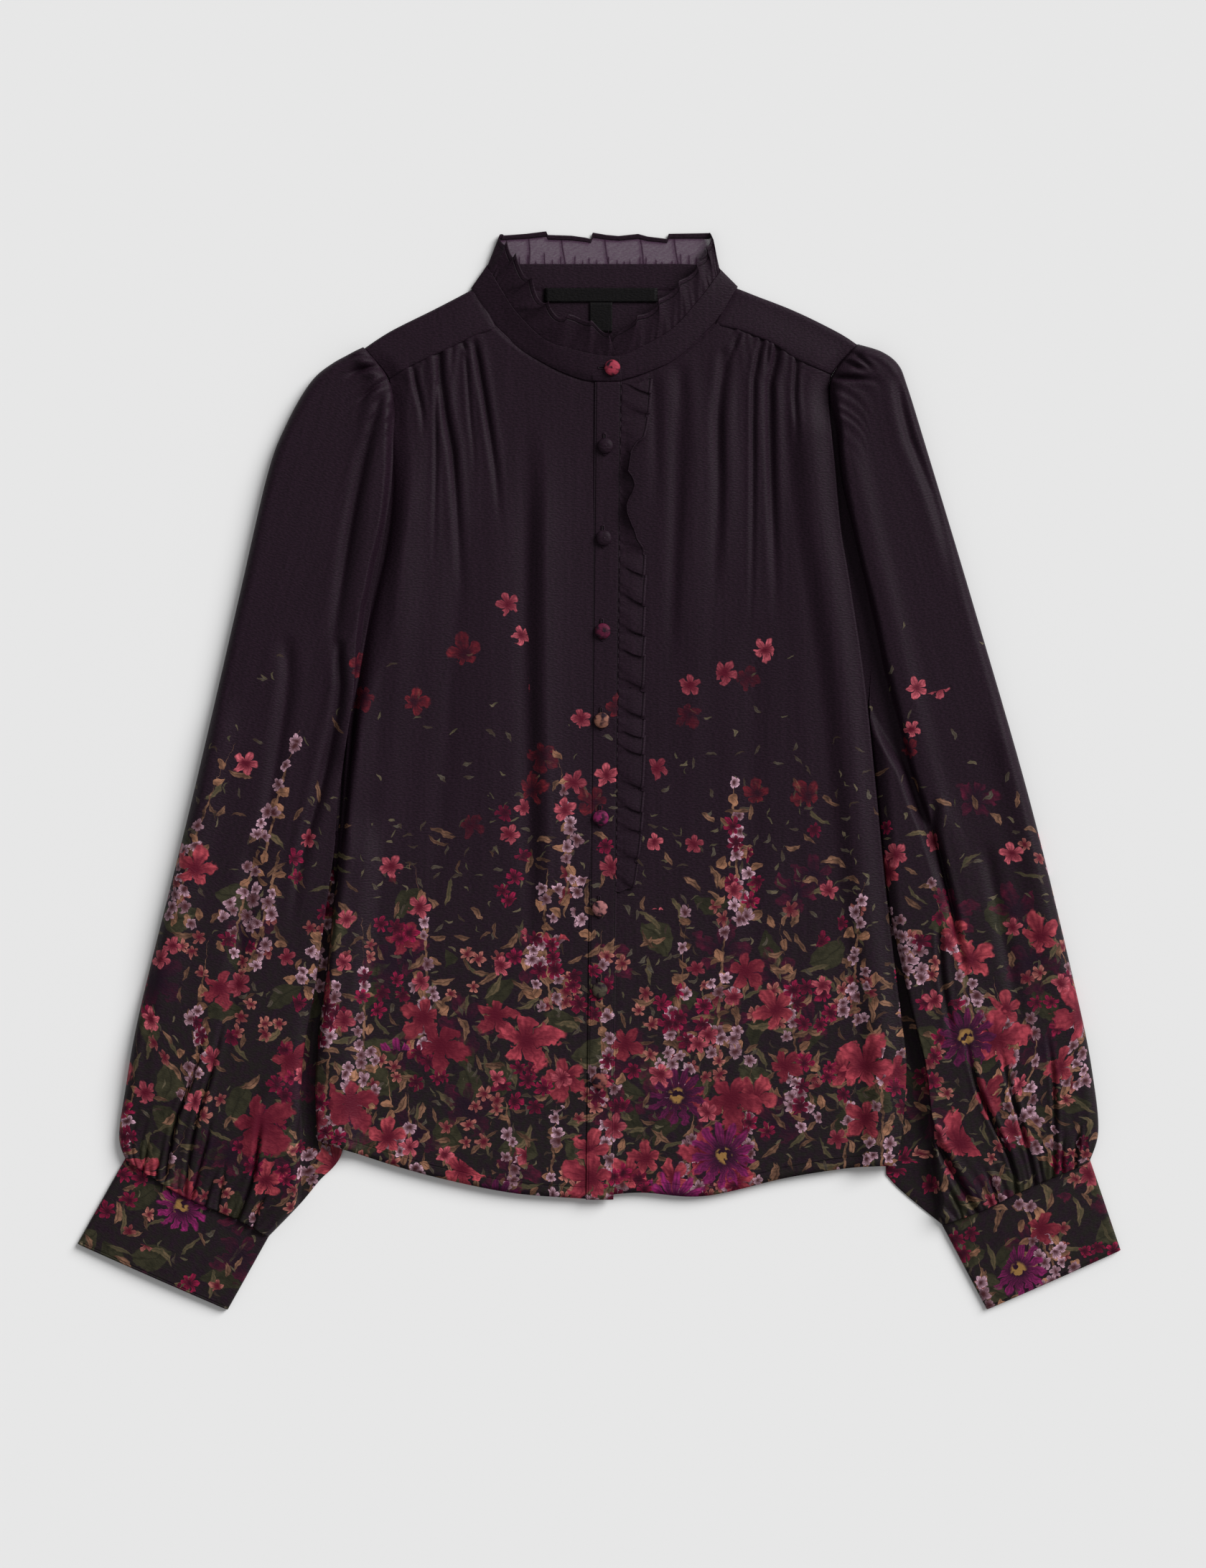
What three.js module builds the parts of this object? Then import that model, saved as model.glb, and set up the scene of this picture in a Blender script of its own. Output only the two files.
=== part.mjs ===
// A woven blouse with a frilled stand collar, full sleeves gathered into deep cuffs and a frill
// beside its button band. It lies on its back with the front up. Millimetres, +Z up, and the collar
// points along +Y. The wearer's right is at -X. The origin is on the surface that the blouse lies
// on, under the middle of its bounding box.
import * as THREE from "three";

// Driving sizes.
const CLOTH = 1; // wall of one layer of cloth
const SEAM = 0.4; // gap between two pieces at a seam
const AIR = 0.5; // air between two layers that lie on each other
const CROWN = 3; // how far the fronts stand above the back in the middle
const FLAT_TUBE = 2 * CLOTH + 0.8; // height of a tube of cloth that is pressed flat
const LAP_LIFT = FLAT_TUBE + SEAM; // height of the cloth that lies over a flat tube
const BAND_WIDTH = 20; // button band
const PLACKET_FRILL_WIDTH = 21.5;
const BUTTON_RADIUS = 5.6;
const BUTTON_HEIGHT = 3.6;
const NECK_LABEL = { width: 82, depth: 10, x: 1.2, y: 344 };
const SIZE_TAB = { width: 16, depth: 22, x: 1.2, y: 327.6 };

const { abs, cos, exp, hypot, max, min, PI, sin } = Math;
const { lerp, smoothstep } = THREE.MathUtils;
const rise = (t) => smoothstep(t, 0, 1);

// Steps from 0 to 1, both ends included.
const steps = (count) => Array.from({ length: count + 1 }, (_, i) => i / count);

// A smooth value read from a table: rows are sorted by the column that says where.
function reader(rows, where, what) {
  const place = rows.map((row) => row[where]);
  const value = rows.map((row) => row[what]);
  const last = rows.length - 1;
  const slope = value.map((_, i) => {
    const [a, b] = [max(i - 1, 0), min(i + 1, last)];
    return (value[b] - value[a]) / (place[b] - place[a]);
  });
  return (at) => {
    const inside = min(max(at, place[0]), place[last]);
    const i = max(1, place.findIndex((p) => p >= inside));
    const width = place[i] - place[i - 1];
    const t = (inside - place[i - 1]) / width;
    const [start, end] = [slope[i - 1] * width, slope[i] * width];
    return (
      value[i - 1] * (1 + 2 * t) * (1 - t) ** 2 +
      start * t * (1 - t) ** 2 +
      value[i] * t * t * (3 - 2 * t) +
      end * t * t * (t - 1)
    );
  };
}

// A smooth line through the points of a table, in plan, read by its share of the length.
function line(rows) {
  const curve = new THREE.SplineCurve(rows.map((row) => new THREE.Vector2(row.x, row.y)));
  return (share) => curve.getPointAt(min(max(share, 0), 1));
}

// A patch between four lines in plan: across the top and the bottom, and down the two sides.
function patch(top, bottom, first, second) {
  const corners = [top(0), top(1), bottom(0), bottom(1)];
  return (u, v) => {
    const weights = [(1 - u) * (1 - v), u * (1 - v), (1 - u) * v, u * v];
    const point = top(u).clone().multiplyScalar(1 - v);
    point.addScaledVector(bottom(u), v);
    point.addScaledVector(first(v), 1 - u);
    point.addScaledVector(second(v), u);
    corners.forEach((corner, i) => point.addScaledVector(corner, -weights[i]));
    return point;
  };
}

// A soft trough, or a ridge where its height is positive, along the line of one row of a table.
// It is fullest near its start, where the gathers are, and dies away at its end.
function fold(row, x, y) {
  const [dx, dy] = [row.endX - row.x, row.endY - row.y];
  const length = hypot(dx, dy);
  const along = ((x - row.x) * dx + (y - row.y) * dy) / length ** 2;
  const across = ((x - row.x) * dy - (y - row.y) * dx) / length;
  const strength = rise((along + 0.04) / 0.1) * (1 - rise(along));
  return row.height * strength * exp(-((across / row.width) ** 2));
}
const folds = (rows, x, y) => rows.reduce((sum, row) => sum + fold(row, x, y), 0);

// Closed cloth from two grids of points, one for each face of the wall. A grid is rows of columns.
// has(row, column) says which cells there are, and a round grid closes on its first column.
function wall(outer, inner, { round = false, has = () => true } = {}) {
  const [rows, columns] = [outer.length, outer[0].length];
  const cells = round ? columns : columns - 1;
  const there = (r, c) => r >= 0 && r < rows - 1 && c >= 0 && c < cells && has(r, c);
  const wrap = (c) => (round ? (c + columns) % columns : c);
  const at = (face, r, c) => face * rows * columns + r * columns + wrap(c);
  const index = [];
  const quad = (a, b, c, d) => index.push(a, b, c, a, c, d);
  for (let r = 0; r < rows - 1; r++) {
    for (let c = 0; c < cells; c++) {
      if (!there(r, c)) continue;
      quad(at(0, r, c), at(0, r + 1, c), at(0, r + 1, c + 1), at(0, r, c + 1));
      quad(at(1, r, c), at(1, r, c + 1), at(1, r + 1, c + 1), at(1, r + 1, c));
      const rims = [
        [there(r - 1, c), [r, c], [r, c + 1]],
        [there(r + 1, c), [r + 1, c + 1], [r + 1, c]],
        [round || there(r, c - 1), [r + 1, c], [r, c]],
        [round || there(r, c + 1), [r, c + 1], [r + 1, c + 1]],
      ];
      for (const [joined, a, b] of rims) {
        if (!joined) quad(at(0, ...a), at(0, ...b), at(1, ...b), at(1, ...a));
      }
    }
  }
  const geometry = new THREE.BufferGeometry();
  const points = [...outer.flat(), ...inner.flat()];
  geometry.setFromPoints(points);
  const volume = index.reduce((sum, _, i) => {
    if (i % 3) return sum;
    const [a, b, c] = [0, 1, 2].map((k) => points[index[i + k]]);
    return sum + a.dot(b.clone().cross(c));
  }, 0);
  if (volume < 0) index.reverse();
  geometry.setIndex(index);
  geometry.computeVertexNormals();
  return geometry;
}

// A sheet in the two heights above a patch: its underside and, a wall's thickness up, its top.
function sheet(spot, us, vs, under, options) {
  const underside = vs.map((v) =>
    us.map((u) => {
      const p = spot(u, v);
      return new THREE.Vector3(p.x, p.y, under(p.x, p.y, u, v));
    }),
  );
  const top = underside.map((row) =>
    row.map((p) => new THREE.Vector3(p.x, p.y, p.z + thickness(under, p.x, p.y))),
  );
  return wall(top, underside, options);
}

// How much higher the top of a sloping sheet is, for the wall to stay as thick as on the flat.
const PROBE = 1.5;
function thickness(under, x, y) {
  const slopeX = (under(x + PROBE, y) - under(x - PROBE, y)) / (2 * PROBE);
  const slopeY = (under(x, y + PROBE) - under(x, y - PROBE)) / (2 * PROBE);
  return CLOTH * min(hypot(1, slopeX, slopeY), 1.5);
}

// A band with its middle surface given as a grid of points, thickened both ways along its normals.
function band(middle) {
  const [rows, columns] = [middle.length, middle[0].length];
  const normal = (r, c) => {
    const down = middle[min(r + 1, rows - 1)][c].clone().sub(middle[max(r - 1, 0)][c]);
    const along = middle[r][min(c + 1, columns - 1)].clone().sub(middle[r][max(c - 1, 0)]);
    return along.cross(down).normalize();
  };
  const face = (side) =>
    middle.map((row, r) =>
      row.map((p, c) => p.clone().addScaledVector(normal(r, c), (side * CLOTH) / 2)),
    );
  return wall(face(1), face(-1));
}

// A tube of cloth that lies flat on spot(u, v), from its outer fold at u 0 to its inner one at 1.
// low is the height of its underside and high that of its top, which is never pressed flatter than
// FLAT_TUBE. The underside needs only every fourth column.
const FOLD_EDGE = 1.6; // from a fold of the tube to the first column that has two faces
const FOLD_WALL = 1.25; // wall across a fold
function flatTube(spot, us, vs, low, high) {
  const ring = (v, inner) => {
    const width = spot(0, v).distanceTo(spot(1, v));
    const fold = (u, sign) => {
      const p = spot(u + (sign * inner * FOLD_WALL) / width, v);
      return new THREE.Vector3(p.x, p.y, low(p.x, p.y) + FLAT_TUBE / 2);
    };
    const columns = [FOLD_EDGE / width, ...us, 1 - FOLD_EDGE / width];
    const over = columns.map((u) => {
      const p = spot(u, v);
      const top = max(high(p.x, p.y, u, v), low(p.x, p.y) + FLAT_TUBE);
      return new THREE.Vector3(p.x, p.y, top - inner * CLOTH);
    });
    const lower = columns.filter((_, i) => i % 4 === 0 || i === columns.length - 1).reverse();
    const below = lower.map((u) => {
      const p = spot(u, v);
      return new THREE.Vector3(p.x, p.y, low(p.x, p.y) + inner * CLOTH);
    });
    return [fold(0, 1), ...over, fold(1, -1), ...below];
  };
  return wall(
    vs.map((v) => ring(v, 0)),
    vs.map((v) => ring(v, 1)),
    { round: true },
  );
}

// Outlines of the body, in plan. Each seam line is shared by the pieces that meet there.
const NECK_SEAM = {
  right: line([
    { x: -1.5, y: 281.2 },
    { x: -14, y: 283 },
    { x: -33, y: 290.7 },
    { x: -58.5, y: 305 },
    { x: -77, y: 321.5 },
  ]),
  left: line([
    { x: -0.5, y: 281.2 },
    { x: 15.5, y: 281.6 },
    { x: 37, y: 288.3 },
    { x: 57.7, y: 298.6 },
    { x: 86, y: 324.4 },
  ]),
};
const YOKE_SEAM = {
  right: line([
    { x: -77, y: 321.5 },
    { x: -104.5, y: 308 },
    { x: -134.7, y: 294 },
    { x: -153, y: 283.7 },
  ]),
  left: line([
    { x: 86, y: 324.4 },
    { x: 122.7, y: 310.6 },
    { x: 143.4, y: 297.6 },
    { x: 168.9, y: 286.9 },
  ]),
};
const SHOULDER = {
  right: line([
    { x: -92, y: 348 },
    { x: -119, y: 334 },
    { x: -151, y: 318 },
    { x: -170.6, y: 305.2 },
  ]),
  left: line([
    { x: 99.9, y: 348.8 },
    { x: 139, y: 334 },
    { x: 172, y: 318 },
    { x: 187.2, y: 308.4 },
  ]),
};
const HEM = {
  right: line([
    { x: -8.4, y: -310.5 },
    { x: -60, y: -306.6 },
    { x: -107, y: -297.5 },
    { x: -150, y: -286 },
    { x: -203.8, y: -268 },
  ]),
  left: line([
    { x: -7.4, y: -309.5 },
    { x: 29, y: -306 },
    { x: 76, y: -308.5 },
    { x: 137, y: -295 },
    { x: 188, y: -287.4 },
    { x: 215.8, y: -286.6 },
  ]),
};

// The body's outer edge from the hem to the shoulder: side seam, then armhole. lap says how far the
// sleeve's inner edge lies past it, over the body where y is above SWAP and under it below.
const SIDE = {
  right: [
    { y: -268, x: -203.8, lap: 17 },
    { y: -235, x: -205.3, lap: 20 },
    { y: -200, x: -204, lap: 20 },
    { y: -157, x: -198.5, lap: 14 },
    { y: -114, x: -193.6, lap: 7 },
    { y: -62, x: -189, lap: -1.4 },
    { y: -30, x: -187, lap: -1.6 },
    { y: 15, x: -183.6, lap: -1.4 },
    { y: 60, x: -179.5, lap: 3.5 },
    { y: 111, x: -171, lap: 7.5 },
    { y: 165, x: -163.5, lap: 7.8 },
    { y: 208, x: -158.5, lap: 8 },
    { y: 255, x: -155.8, lap: 6.8 },
    { y: 274, x: -153.4, lap: 4 },
    { y: 283.7, x: -153, lap: -1 },
    { y: 305.2, x: -170.6, lap: -1.6 },
  ],
  left: [
    { y: -286.6, x: 215.8, lap: 8 },
    { y: -251, x: 220.2, lap: 12 },
    { y: -212, x: 222.2, lap: 16 },
    { y: -183, x: 219, lap: 17 },
    { y: -97, x: 208.5, lap: 16 },
    { y: -2, x: 199.1, lap: 15 },
    { y: 68, x: 191.5, lap: 14 },
    { y: 139, x: 180.8, lap: 13 },
    { y: 175, x: 174.8, lap: 12 },
    { y: 222, x: 170.4, lap: 10 },
    { y: 243, x: 168.2, lap: -1 },
    { y: 271, x: 166.4, lap: -1 },
    { y: 286.9, x: 168.9, lap: -1.4 },
    { y: 308.4, x: 187.2, lap: -1.7 },
  ],
};
const SIDES = {
  right: { sign: -1, x: reader(SIDE.right, "y", "x"), lap: reader(SIDE.right, "y", "lap") },
  left: { sign: 1, x: reader(SIDE.left, "y", "x"), lap: reader(SIDE.left, "y", "lap") },
};
// Down from LIFT_FROM to LIFT_FULL the body climbs onto the sleeve that lies under its edge.
const LIFT_FROM = { right: -5, left: 276 };
const LIFT_FULL = { right: -60, left: 242 };
const LIFT_WIDTH = 26;

// How far a place lies inside the body's edge, on its nearer side.
const sideOf = (x) => (x < 0 ? "right" : "left");
const insideEdge = (x, y) => {
  const side = SIDES[sideOf(x)];
  return side.sign * (side.x(y) - x);
};
function lift(x, y) {
  const side = sideOf(x);
  const down = rise((LIFT_FROM[side] - y) / (LIFT_FROM[side] - LIFT_FULL[side]));
  const near = 1 - rise((insideEdge(x, y) - LIFT_WIDTH + 8) / (LIFT_WIDTH - 10));
  return LAP_LIFT * down * near;
}

// Gathers under the yoke and the main folds of the fronts. Negative heights are troughs.
const FRONT_FOLDS = [
  { x: -141, y: 292, endX: -138, endY: 250, height: -1.6, width: 3.2 },
  { x: -134, y: 294, endX: -128, endY: 255, height: 1.6, width: 3.6 },
  { x: -117, y: 301, endX: -121, endY: 60, height: -2.6, width: 4.5 },
  { x: -109, y: 305, endX: -100, endY: 120, height: 2, width: 5 },
  { x: -103, y: 307, endX: -86, endY: 150, height: -2.2, width: 4 },
  { x: -96, y: 310, endX: -88, endY: 170, height: 1.7, width: 3.6 },
  { x: -89, y: 313, endX: -70, endY: 175, height: -2.2, width: 3.6 },
  { x: -82, y: 316, endX: -64, endY: 190, height: 1.4, width: 4 },
  { x: -48, y: 250, endX: -52, endY: -180, height: -1.8, width: 8 },
  { x: -74, y: 230, endX: -82, endY: -220, height: 1.3, width: 9 },
  { x: -105, y: 190, endX: -128, endY: -250, height: -1.7, width: 8 },
  { x: -140, y: 190, endX: -166, endY: -200, height: 1.6, width: 9 },
  { x: 98, y: 318, endX: 90, endY: 180, height: -1.8, width: 4.4 },
  { x: 105, y: 315, endX: 101, endY: 190, height: 1.5, width: 3.8 },
  { x: 111, y: 313, endX: 110, endY: 110, height: -2.2, width: 3.4 },
  { x: 118, y: 310, endX: 118, endY: 210, height: 1.5, width: 3.4 },
  { x: 124, y: 307, endX: 128, endY: 90, height: -2.6, width: 4 },
  { x: 133, y: 302, endX: 137, endY: 160, height: 1.8, width: 4.4 },
  { x: 143, y: 296, endX: 143, endY: 230, height: -1.8, width: 3 },
  { x: 74, y: 285, endX: 66, endY: -120, height: -1.8, width: 8 },
  { x: 50, y: 240, endX: 46, endY: -200, height: 1.2, width: 8 },
  { x: 112, y: 130, endX: 108, endY: -260, height: -1.8, width: 8 },
  { x: 140, y: 160, endX: 158, endY: -220, height: 1.5, width: 9 },
  { x: 160, y: 200, endX: 178, endY: -200, height: -1.4, width: 8 },
];

// The underside of the fronts and of the yoke's front part, over any place of the body.
const shoulderY = (x) => {
  const rows = [
    { x: -187, y: 299 },
    { x: -151, y: 318 },
    { x: -92, y: 348 },
    { x: 100, y: 348.8 },
    { x: 139, y: 334 },
    { x: 190, y: 307 },
  ];
  return reader(rows, "x", "y")(x);
};
function frontUnder(x, y) {
  const crown = CROWN * rise(insideEdge(x, y) / 30) * rise((shoulderY(x) - y) / 34);
  const floor = lift(x, y) + CLOTH + AIR;
  return max(floor + crown + folds(FRONT_FOLDS, x, y) * rise(insideEdge(x, y) / 14), floor);
}
const frontTop = (x, y) => frontUnder(x, y) + thickness(frontUnder, x, y);

// Line down a body panel's outer edge, between two heights of the table.
const sideLine = (side, from, to) => (share) => {
  const y = lerp(from, to, share);
  return new THREE.Vector2(SIDES[side].x(y), y);
};
const straight = (a, b) => (share) => a.clone().lerp(b, share);
const moved = (curve, dx, dy) => (share) => curve(share).clone().add(new THREE.Vector2(dx, dy));

// A front: neck seam and gathered yoke seam above, curved hem below.
const NECK_SHARE = 0.42; // of the columns, the rest are under the yoke seam
function front(side) {
  const above = moved(
    (u) =>
      u < NECK_SHARE
        ? NECK_SEAM[side](u / NECK_SHARE)
        : YOKE_SEAM[side]((u - NECK_SHARE) / (1 - NECK_SHARE)),
    0,
    -SEAM,
  );
  const [top, bottom] = [above(1).y, HEM[side](1).y];
  const centre = straight(above(0), HEM[side](0));
  const spot = patch(above, HEM[side], centre, sideLine(side, top, bottom));
  const columns = [...steps(10).map((t) => t * NECK_SHARE), ...gathered(21)];
  const rows = steps(15).map((t) => 0.35 * t + 0.65 * t * t);
  return sheet(spot, columns, rows, (x, y) => frontUnder(x, y));
}
const gathered = (count) =>
  steps(count)
    .slice(1)
    .map((t) => lerp(NECK_SHARE, 1, t));

// The back panel lies on the surface, up to its seam with the yoke.
const BACK_SEAM_Y = 272;
function back() {
  const bottomLine = (u) =>
    u < 0.5 ? HEM.right(1 - 2 * u) : HEM.left(max(2 * u - 1, 0.001));
  const bottomMoved = moved(bottomLine, 0, 0.6);
  const corner = (side, y) => new THREE.Vector2(SIDES[side].x(y), y);
  const top = straight(
    corner("right", BACK_SEAM_Y - SEAM),
    corner("left", BACK_SEAM_Y - SEAM),
  );
  const spot = patch(
    top,
    bottomMoved,
    sideLine("right", BACK_SEAM_Y - SEAM, bottomMoved(0).y),
    sideLine("left", BACK_SEAM_Y - SEAM, bottomMoved(1).y),
  );
  const columns = [0, 0.025, 0.05, 0.08, 0.12, 0.25, 0.5, 0.75, 0.88, 0.92, 0.95, 0.975, 1];
  const rows = [0, 0.015, 0.03, 0.05, ...steps(14).slice(1)];
  return sheet(spot, columns, rows, (x, y) => lift(x, y));
}

// The yoke is one piece: across the back below the collar, and forward over both shoulders to the
// gathered seams of the fronts. Its columns run from armhole to armhole.
const FOLD_INSET = 1.3; // from the fold over a shoulder to the first row that has two faces
const WING = { right: 0.24, left: 0.745 }; // shares of the columns' way that end and begin a wing
function yoke() {
  const ridge = (u) => {
    if (u <= WING.right) return SHOULDER.right(1 - u / WING.right).clone();
    if (u >= WING.left) return SHOULDER.left((u - WING.left) / (1 - WING.left)).clone();
    const x = lerp(SHOULDER.right(0).x, SHOULDER.left(0).x, (u - WING.right) / (WING.left - WING.right));
    return new THREE.Vector2(x, 347 - SEAM);
  };
  const foot = straight(
    new THREE.Vector2(SIDES.right.x(BACK_SEAM_Y), BACK_SEAM_Y),
    new THREE.Vector2(SIDES.left.x(BACK_SEAM_Y), BACK_SEAM_Y),
  );
  const backSpot = patch(
    ridge,
    foot,
    sideLine("right", ridge(0).y, BACK_SEAM_Y),
    sideLine("left", ridge(1).y, BACK_SEAM_Y),
  );
  const wing = (side) => {
    const seam = moved(YOKE_SEAM[side], 0, SEAM);
    const neckEdge = straight(SHOULDER[side](0), seam(0));
    return patch(SHOULDER[side], seam, neckEdge, sideLine(side, SHOULDER[side](1).y, seam(1).y));
  };
  const wings = { right: wing("right"), left: wing("left") };
  const columns = [
    ...steps(9).map((t) => ({ u: WING.right * t, share: 1 - t, side: "right" })),
    ...steps(8)
      .slice(1, -1)
      .map((t) => ({ u: lerp(WING.right, WING.left, t) })),
    ...steps(9).map((t) => ({ u: lerp(WING.left, 1, t), share: t, side: "left" })),
  ];
  const backRows = [1, 0.75, 0.5, 0.25];
  const frontRows = [0.25, 0.5, 0.75, 1];
  const face = (over) =>
    columns.map(({ u, share, side }) => {
      const points = [];
      const add = (p, z) => points.push(new THREE.Vector3(p.x, p.y, z));
      const flat = (p) => add(p, lift(p.x, p.y) + over * CLOTH);
      backRows.forEach((v) => flat(backSpot(u, v)));
      const edge = ridge(u);
      if (side) edge.y -= FOLD_INSET;
      flat(edge);
      if (!side) return points;
      const fold = ridge(u);
      add(fold.setY(fold.y - over * CLOTH), CLOTH + AIR / 2);
      const above = (p) => add(p, over ? frontUnder(p.x, p.y) : frontTop(p.x, p.y));
      above(edge);
      frontRows.forEach((v) => above(wings[side](share, v)));
      return points;
    });
  const most = backRows.length + 1 + 2 + frontRows.length;
  const padded = (rows) =>
    rows.map((row) => [...row, ...Array(most - row.length).fill(row[row.length - 1])]);
  const inWing = (i) => columns[i].side && columns[i].side === columns[i + 1].side;
  const has = (i, j) => j < backRows.length || inWing(i);
  return wall(padded(face(0)), padded(face(1)), { has });
}

// Sleeves: a full tube from the armhole to the cuff seam. Each outline is in plan.
const SLEEVE = {
  right: {
    tip: 306,
    outer: [
      { x: -193, y: 295 },
      { x: -210, y: 280 },
      { x: -228, y: 248 },
      { x: -241, y: 212 },
      { x: -262, y: 121 },
      { x: -296, y: -25 },
      { x: -332, y: -170 },
      { x: -344, y: -235 },
      { x: -348, y: -266 },
      { x: -343.4, y: -281.8 },
    ],
    cuff: [
      { x: -343.4, y: -281.8 },
      { x: -316, y: -300 },
      { x: -293.3, y: -312.6 },
      { x: -262, y: -325.5 },
      { x: -240.2, y: -337.8 },
    ],
    free: [
      { x: -204, y: -298 },
      { x: -219, y: -316 },
      { x: -240.2, y: -337.8 },
    ],
    underarm: 111,
  },
  left: {
    tip: 309,
    outer: [
      { x: 205, y: 303.5 },
      { x: 217, y: 294 },
      { x: 223.5, y: 278 },
      { x: 236.5, y: 236 },
      { x: 271, y: 121 },
      { x: 313, y: -25 },
      { x: 348, y: -170 },
      { x: 358.5, y: -225 },
      { x: 362, y: -262 },
      { x: 356, y: -283 },
    ],
    cuff: [
      { x: 356, y: -283 },
      { x: 342, y: -289.4 },
      { x: 309.8, y: -303 },
      { x: 275.8, y: -319.6 },
      { x: 248.4, y: -329.4 },
    ],
    free: [
      { x: 210.3, y: -296 },
      { x: 223, y: -308.6 },
      { x: 248.4, y: -329.4 },
    ],
    underarm: 95,
  },
};

// Beside the body's edge the left sleeve sinks into a valley, width across, before it stands up.
const VALLEY = {
  right: [
    { y: -310, width: 14 },
    { y: -165, width: 8 },
    { y: -105, width: 7 },
    { y: -55, width: 3 },
    { y: 0, width: -6 },
    { y: 300, width: -6 },
  ],
  left: [
    { y: -310, width: 30 },
    { y: -250, width: 44 },
    { y: -169, width: 50 },
    { y: -105, width: 47 },
    { y: -36, width: 39 },
    { y: 38, width: 26 },
    { y: 68, width: 22 },
    { y: 175, width: 13 },
    { y: 229, width: 7 },
    { y: 255, width: 5 },
    { y: 310, width: -6 },
  ],
};
const VALLEY_SLOPE = 7; // across the flank that stands up from the valley
const SLEEVE_CROWN = 8.5;

// Folds of a sleeve run down it. at and drift are shares of its width, from and to of its length.
const SLEEVE_FOLDS = {
  right: [
    { at: 0.36, drift: 0.05, from: -0.02, to: 0.9, height: -2.6, width: 0.05 },
    { at: 0.18, drift: 0.05, from: 0.04, to: 0.6, height: 1.4, width: 0.07 },
    { at: 0.7, drift: -0.05, from: 0.02, to: 0.95, height: -2.4, width: 0.05 },
    { at: 0.53, drift: 0, from: -0.02, to: 0.7, height: 1.6, width: 0.07 },
    { at: 0.07, drift: 0.06, from: -0.03, to: 0.14, height: -1.6, width: 0.025 },
    { at: 0.14, drift: 0.05, from: -0.03, to: 0.12, height: -1.6, width: 0.025 },
    { at: 0.22, drift: 0.05, from: -0.03, to: 0.16, height: -1.5, width: 0.025 },
  ],
  left: [
    { at: 0.3, drift: 0.02, from: -0.02, to: 0.85, height: -2.4, width: 0.05 },
    { at: 0.14, drift: 0.03, from: 0.03, to: 0.7, height: 1.4, width: 0.06 },
    { at: 0.46, drift: 0.04, from: 0.05, to: 0.8, height: 1.6, width: 0.07 },
    { at: 0.06, drift: 0.04, from: -0.03, to: 0.12, height: -1.6, width: 0.025 },
    { at: 0.12, drift: 0.05, from: -0.03, to: 0.14, height: -1.6, width: 0.025 },
    { at: 0.2, drift: 0.04, from: -0.03, to: 0.1, height: -1.6, width: 0.025 },
  ],
};
const CUFF_GATHERS = { count: 9, height: 1.3, from: 0.78 };

// Columns of a sleeve between its folded edges, closer together towards the body.
const SLEEVE_COLUMNS = steps(26)
  .slice(1, -1)
  .map((t) => 1 - (1 - t) ** 1.4);
const FRONT_EDGE_HEIGHT = CLOTH + AIR + CLOTH; // top of a front at its edge, where it isn't lifted

function sleeveFold(row, u, v) {
  const t = (v - row.from) / (row.to - row.from);
  if (t < 0 || t > 1) return 0;
  const across = (u - row.at - row.drift * t) / row.width;
  return row.height * rise(t / 0.12) * (1 - rise(t)) * exp(-across * across);
}

function sleeve(side) {
  const { tip, outer, cuff, free, underarm } = SLEEVE[side];
  const { sign, x: edgeX, lap } = SIDES[side];
  const innerX = (y) => edgeX(y) - sign * lap(y);
  // The armhole end follows the body's edge, past it by the lap, from the shoulder down.
  const armholeRows = steps(9).map((t) => {
    const y = lerp(tip, underarm, t);
    return { x: innerX(y), y };
  });
  const innerRows = steps(8).map((t) => {
    const y = lerp(underarm, side === "right" ? -276 : -288, t);
    return { x: innerX(y), y };
  });
  const valley = reader(VALLEY[side], "y", "width");
  const spot = patch(
    line(armholeRows),
    line(cuff),
    line([armholeRows[0], ...outer]),
    line([...innerRows, ...free]),
  );
  const lapOver = side === "right";
  // The right sleeve's inner edge lies on the body down to where the two change places.
  const low = (x, y) => {
    if (!lapOver) return 0;
    const near = rise((sign * (edgeX(y) - x) + 20) / 16);
    return (FRONT_EDGE_HEIGHT + 1.2) * near * rise((y + 4) / 24);
  };
  const high = (x, y, u, v) => {
    const beyond = sign * (x - edgeX(y)) - valley(y);
    const up = rise((beyond - 1) / VALLEY_SLOPE);
    const round = rise(u / 0.2) * rise((1 - v) / 0.05 + 0.25) * rise(v / 0.04 + 0.3);
    const nearInner = lapOver ? rise((1 - u) / 0.16 + 0.25) : 1;
    const drape = SLEEVE_FOLDS[side].reduce((sum, row) => sum + sleeveFold(row, u, v), 0);
    const pucker = rise((v - CUFF_GATHERS.from) / (1 - CUFF_GATHERS.from));
    const gathers = CUFF_GATHERS.height * pucker * sin(2 * PI * CUFF_GATHERS.count * u);
    const tall = (SLEEVE_CROWN + drape) * round * nearInner + gathers;
    return low(x, y) + FLAT_TUBE + max(up * tall, 0);
  };
  const vs = [0, 0.03, 0.07, 0.12, 0.18, 0.25, 0.33, 0.41, 0.5, 0.58, 0.66, 0.74, 0.8, 0.86, 0.92, 0.96, 1];
  return flatTube(spot, SLEEVE_COLUMNS, vs, low, high);
}

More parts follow.
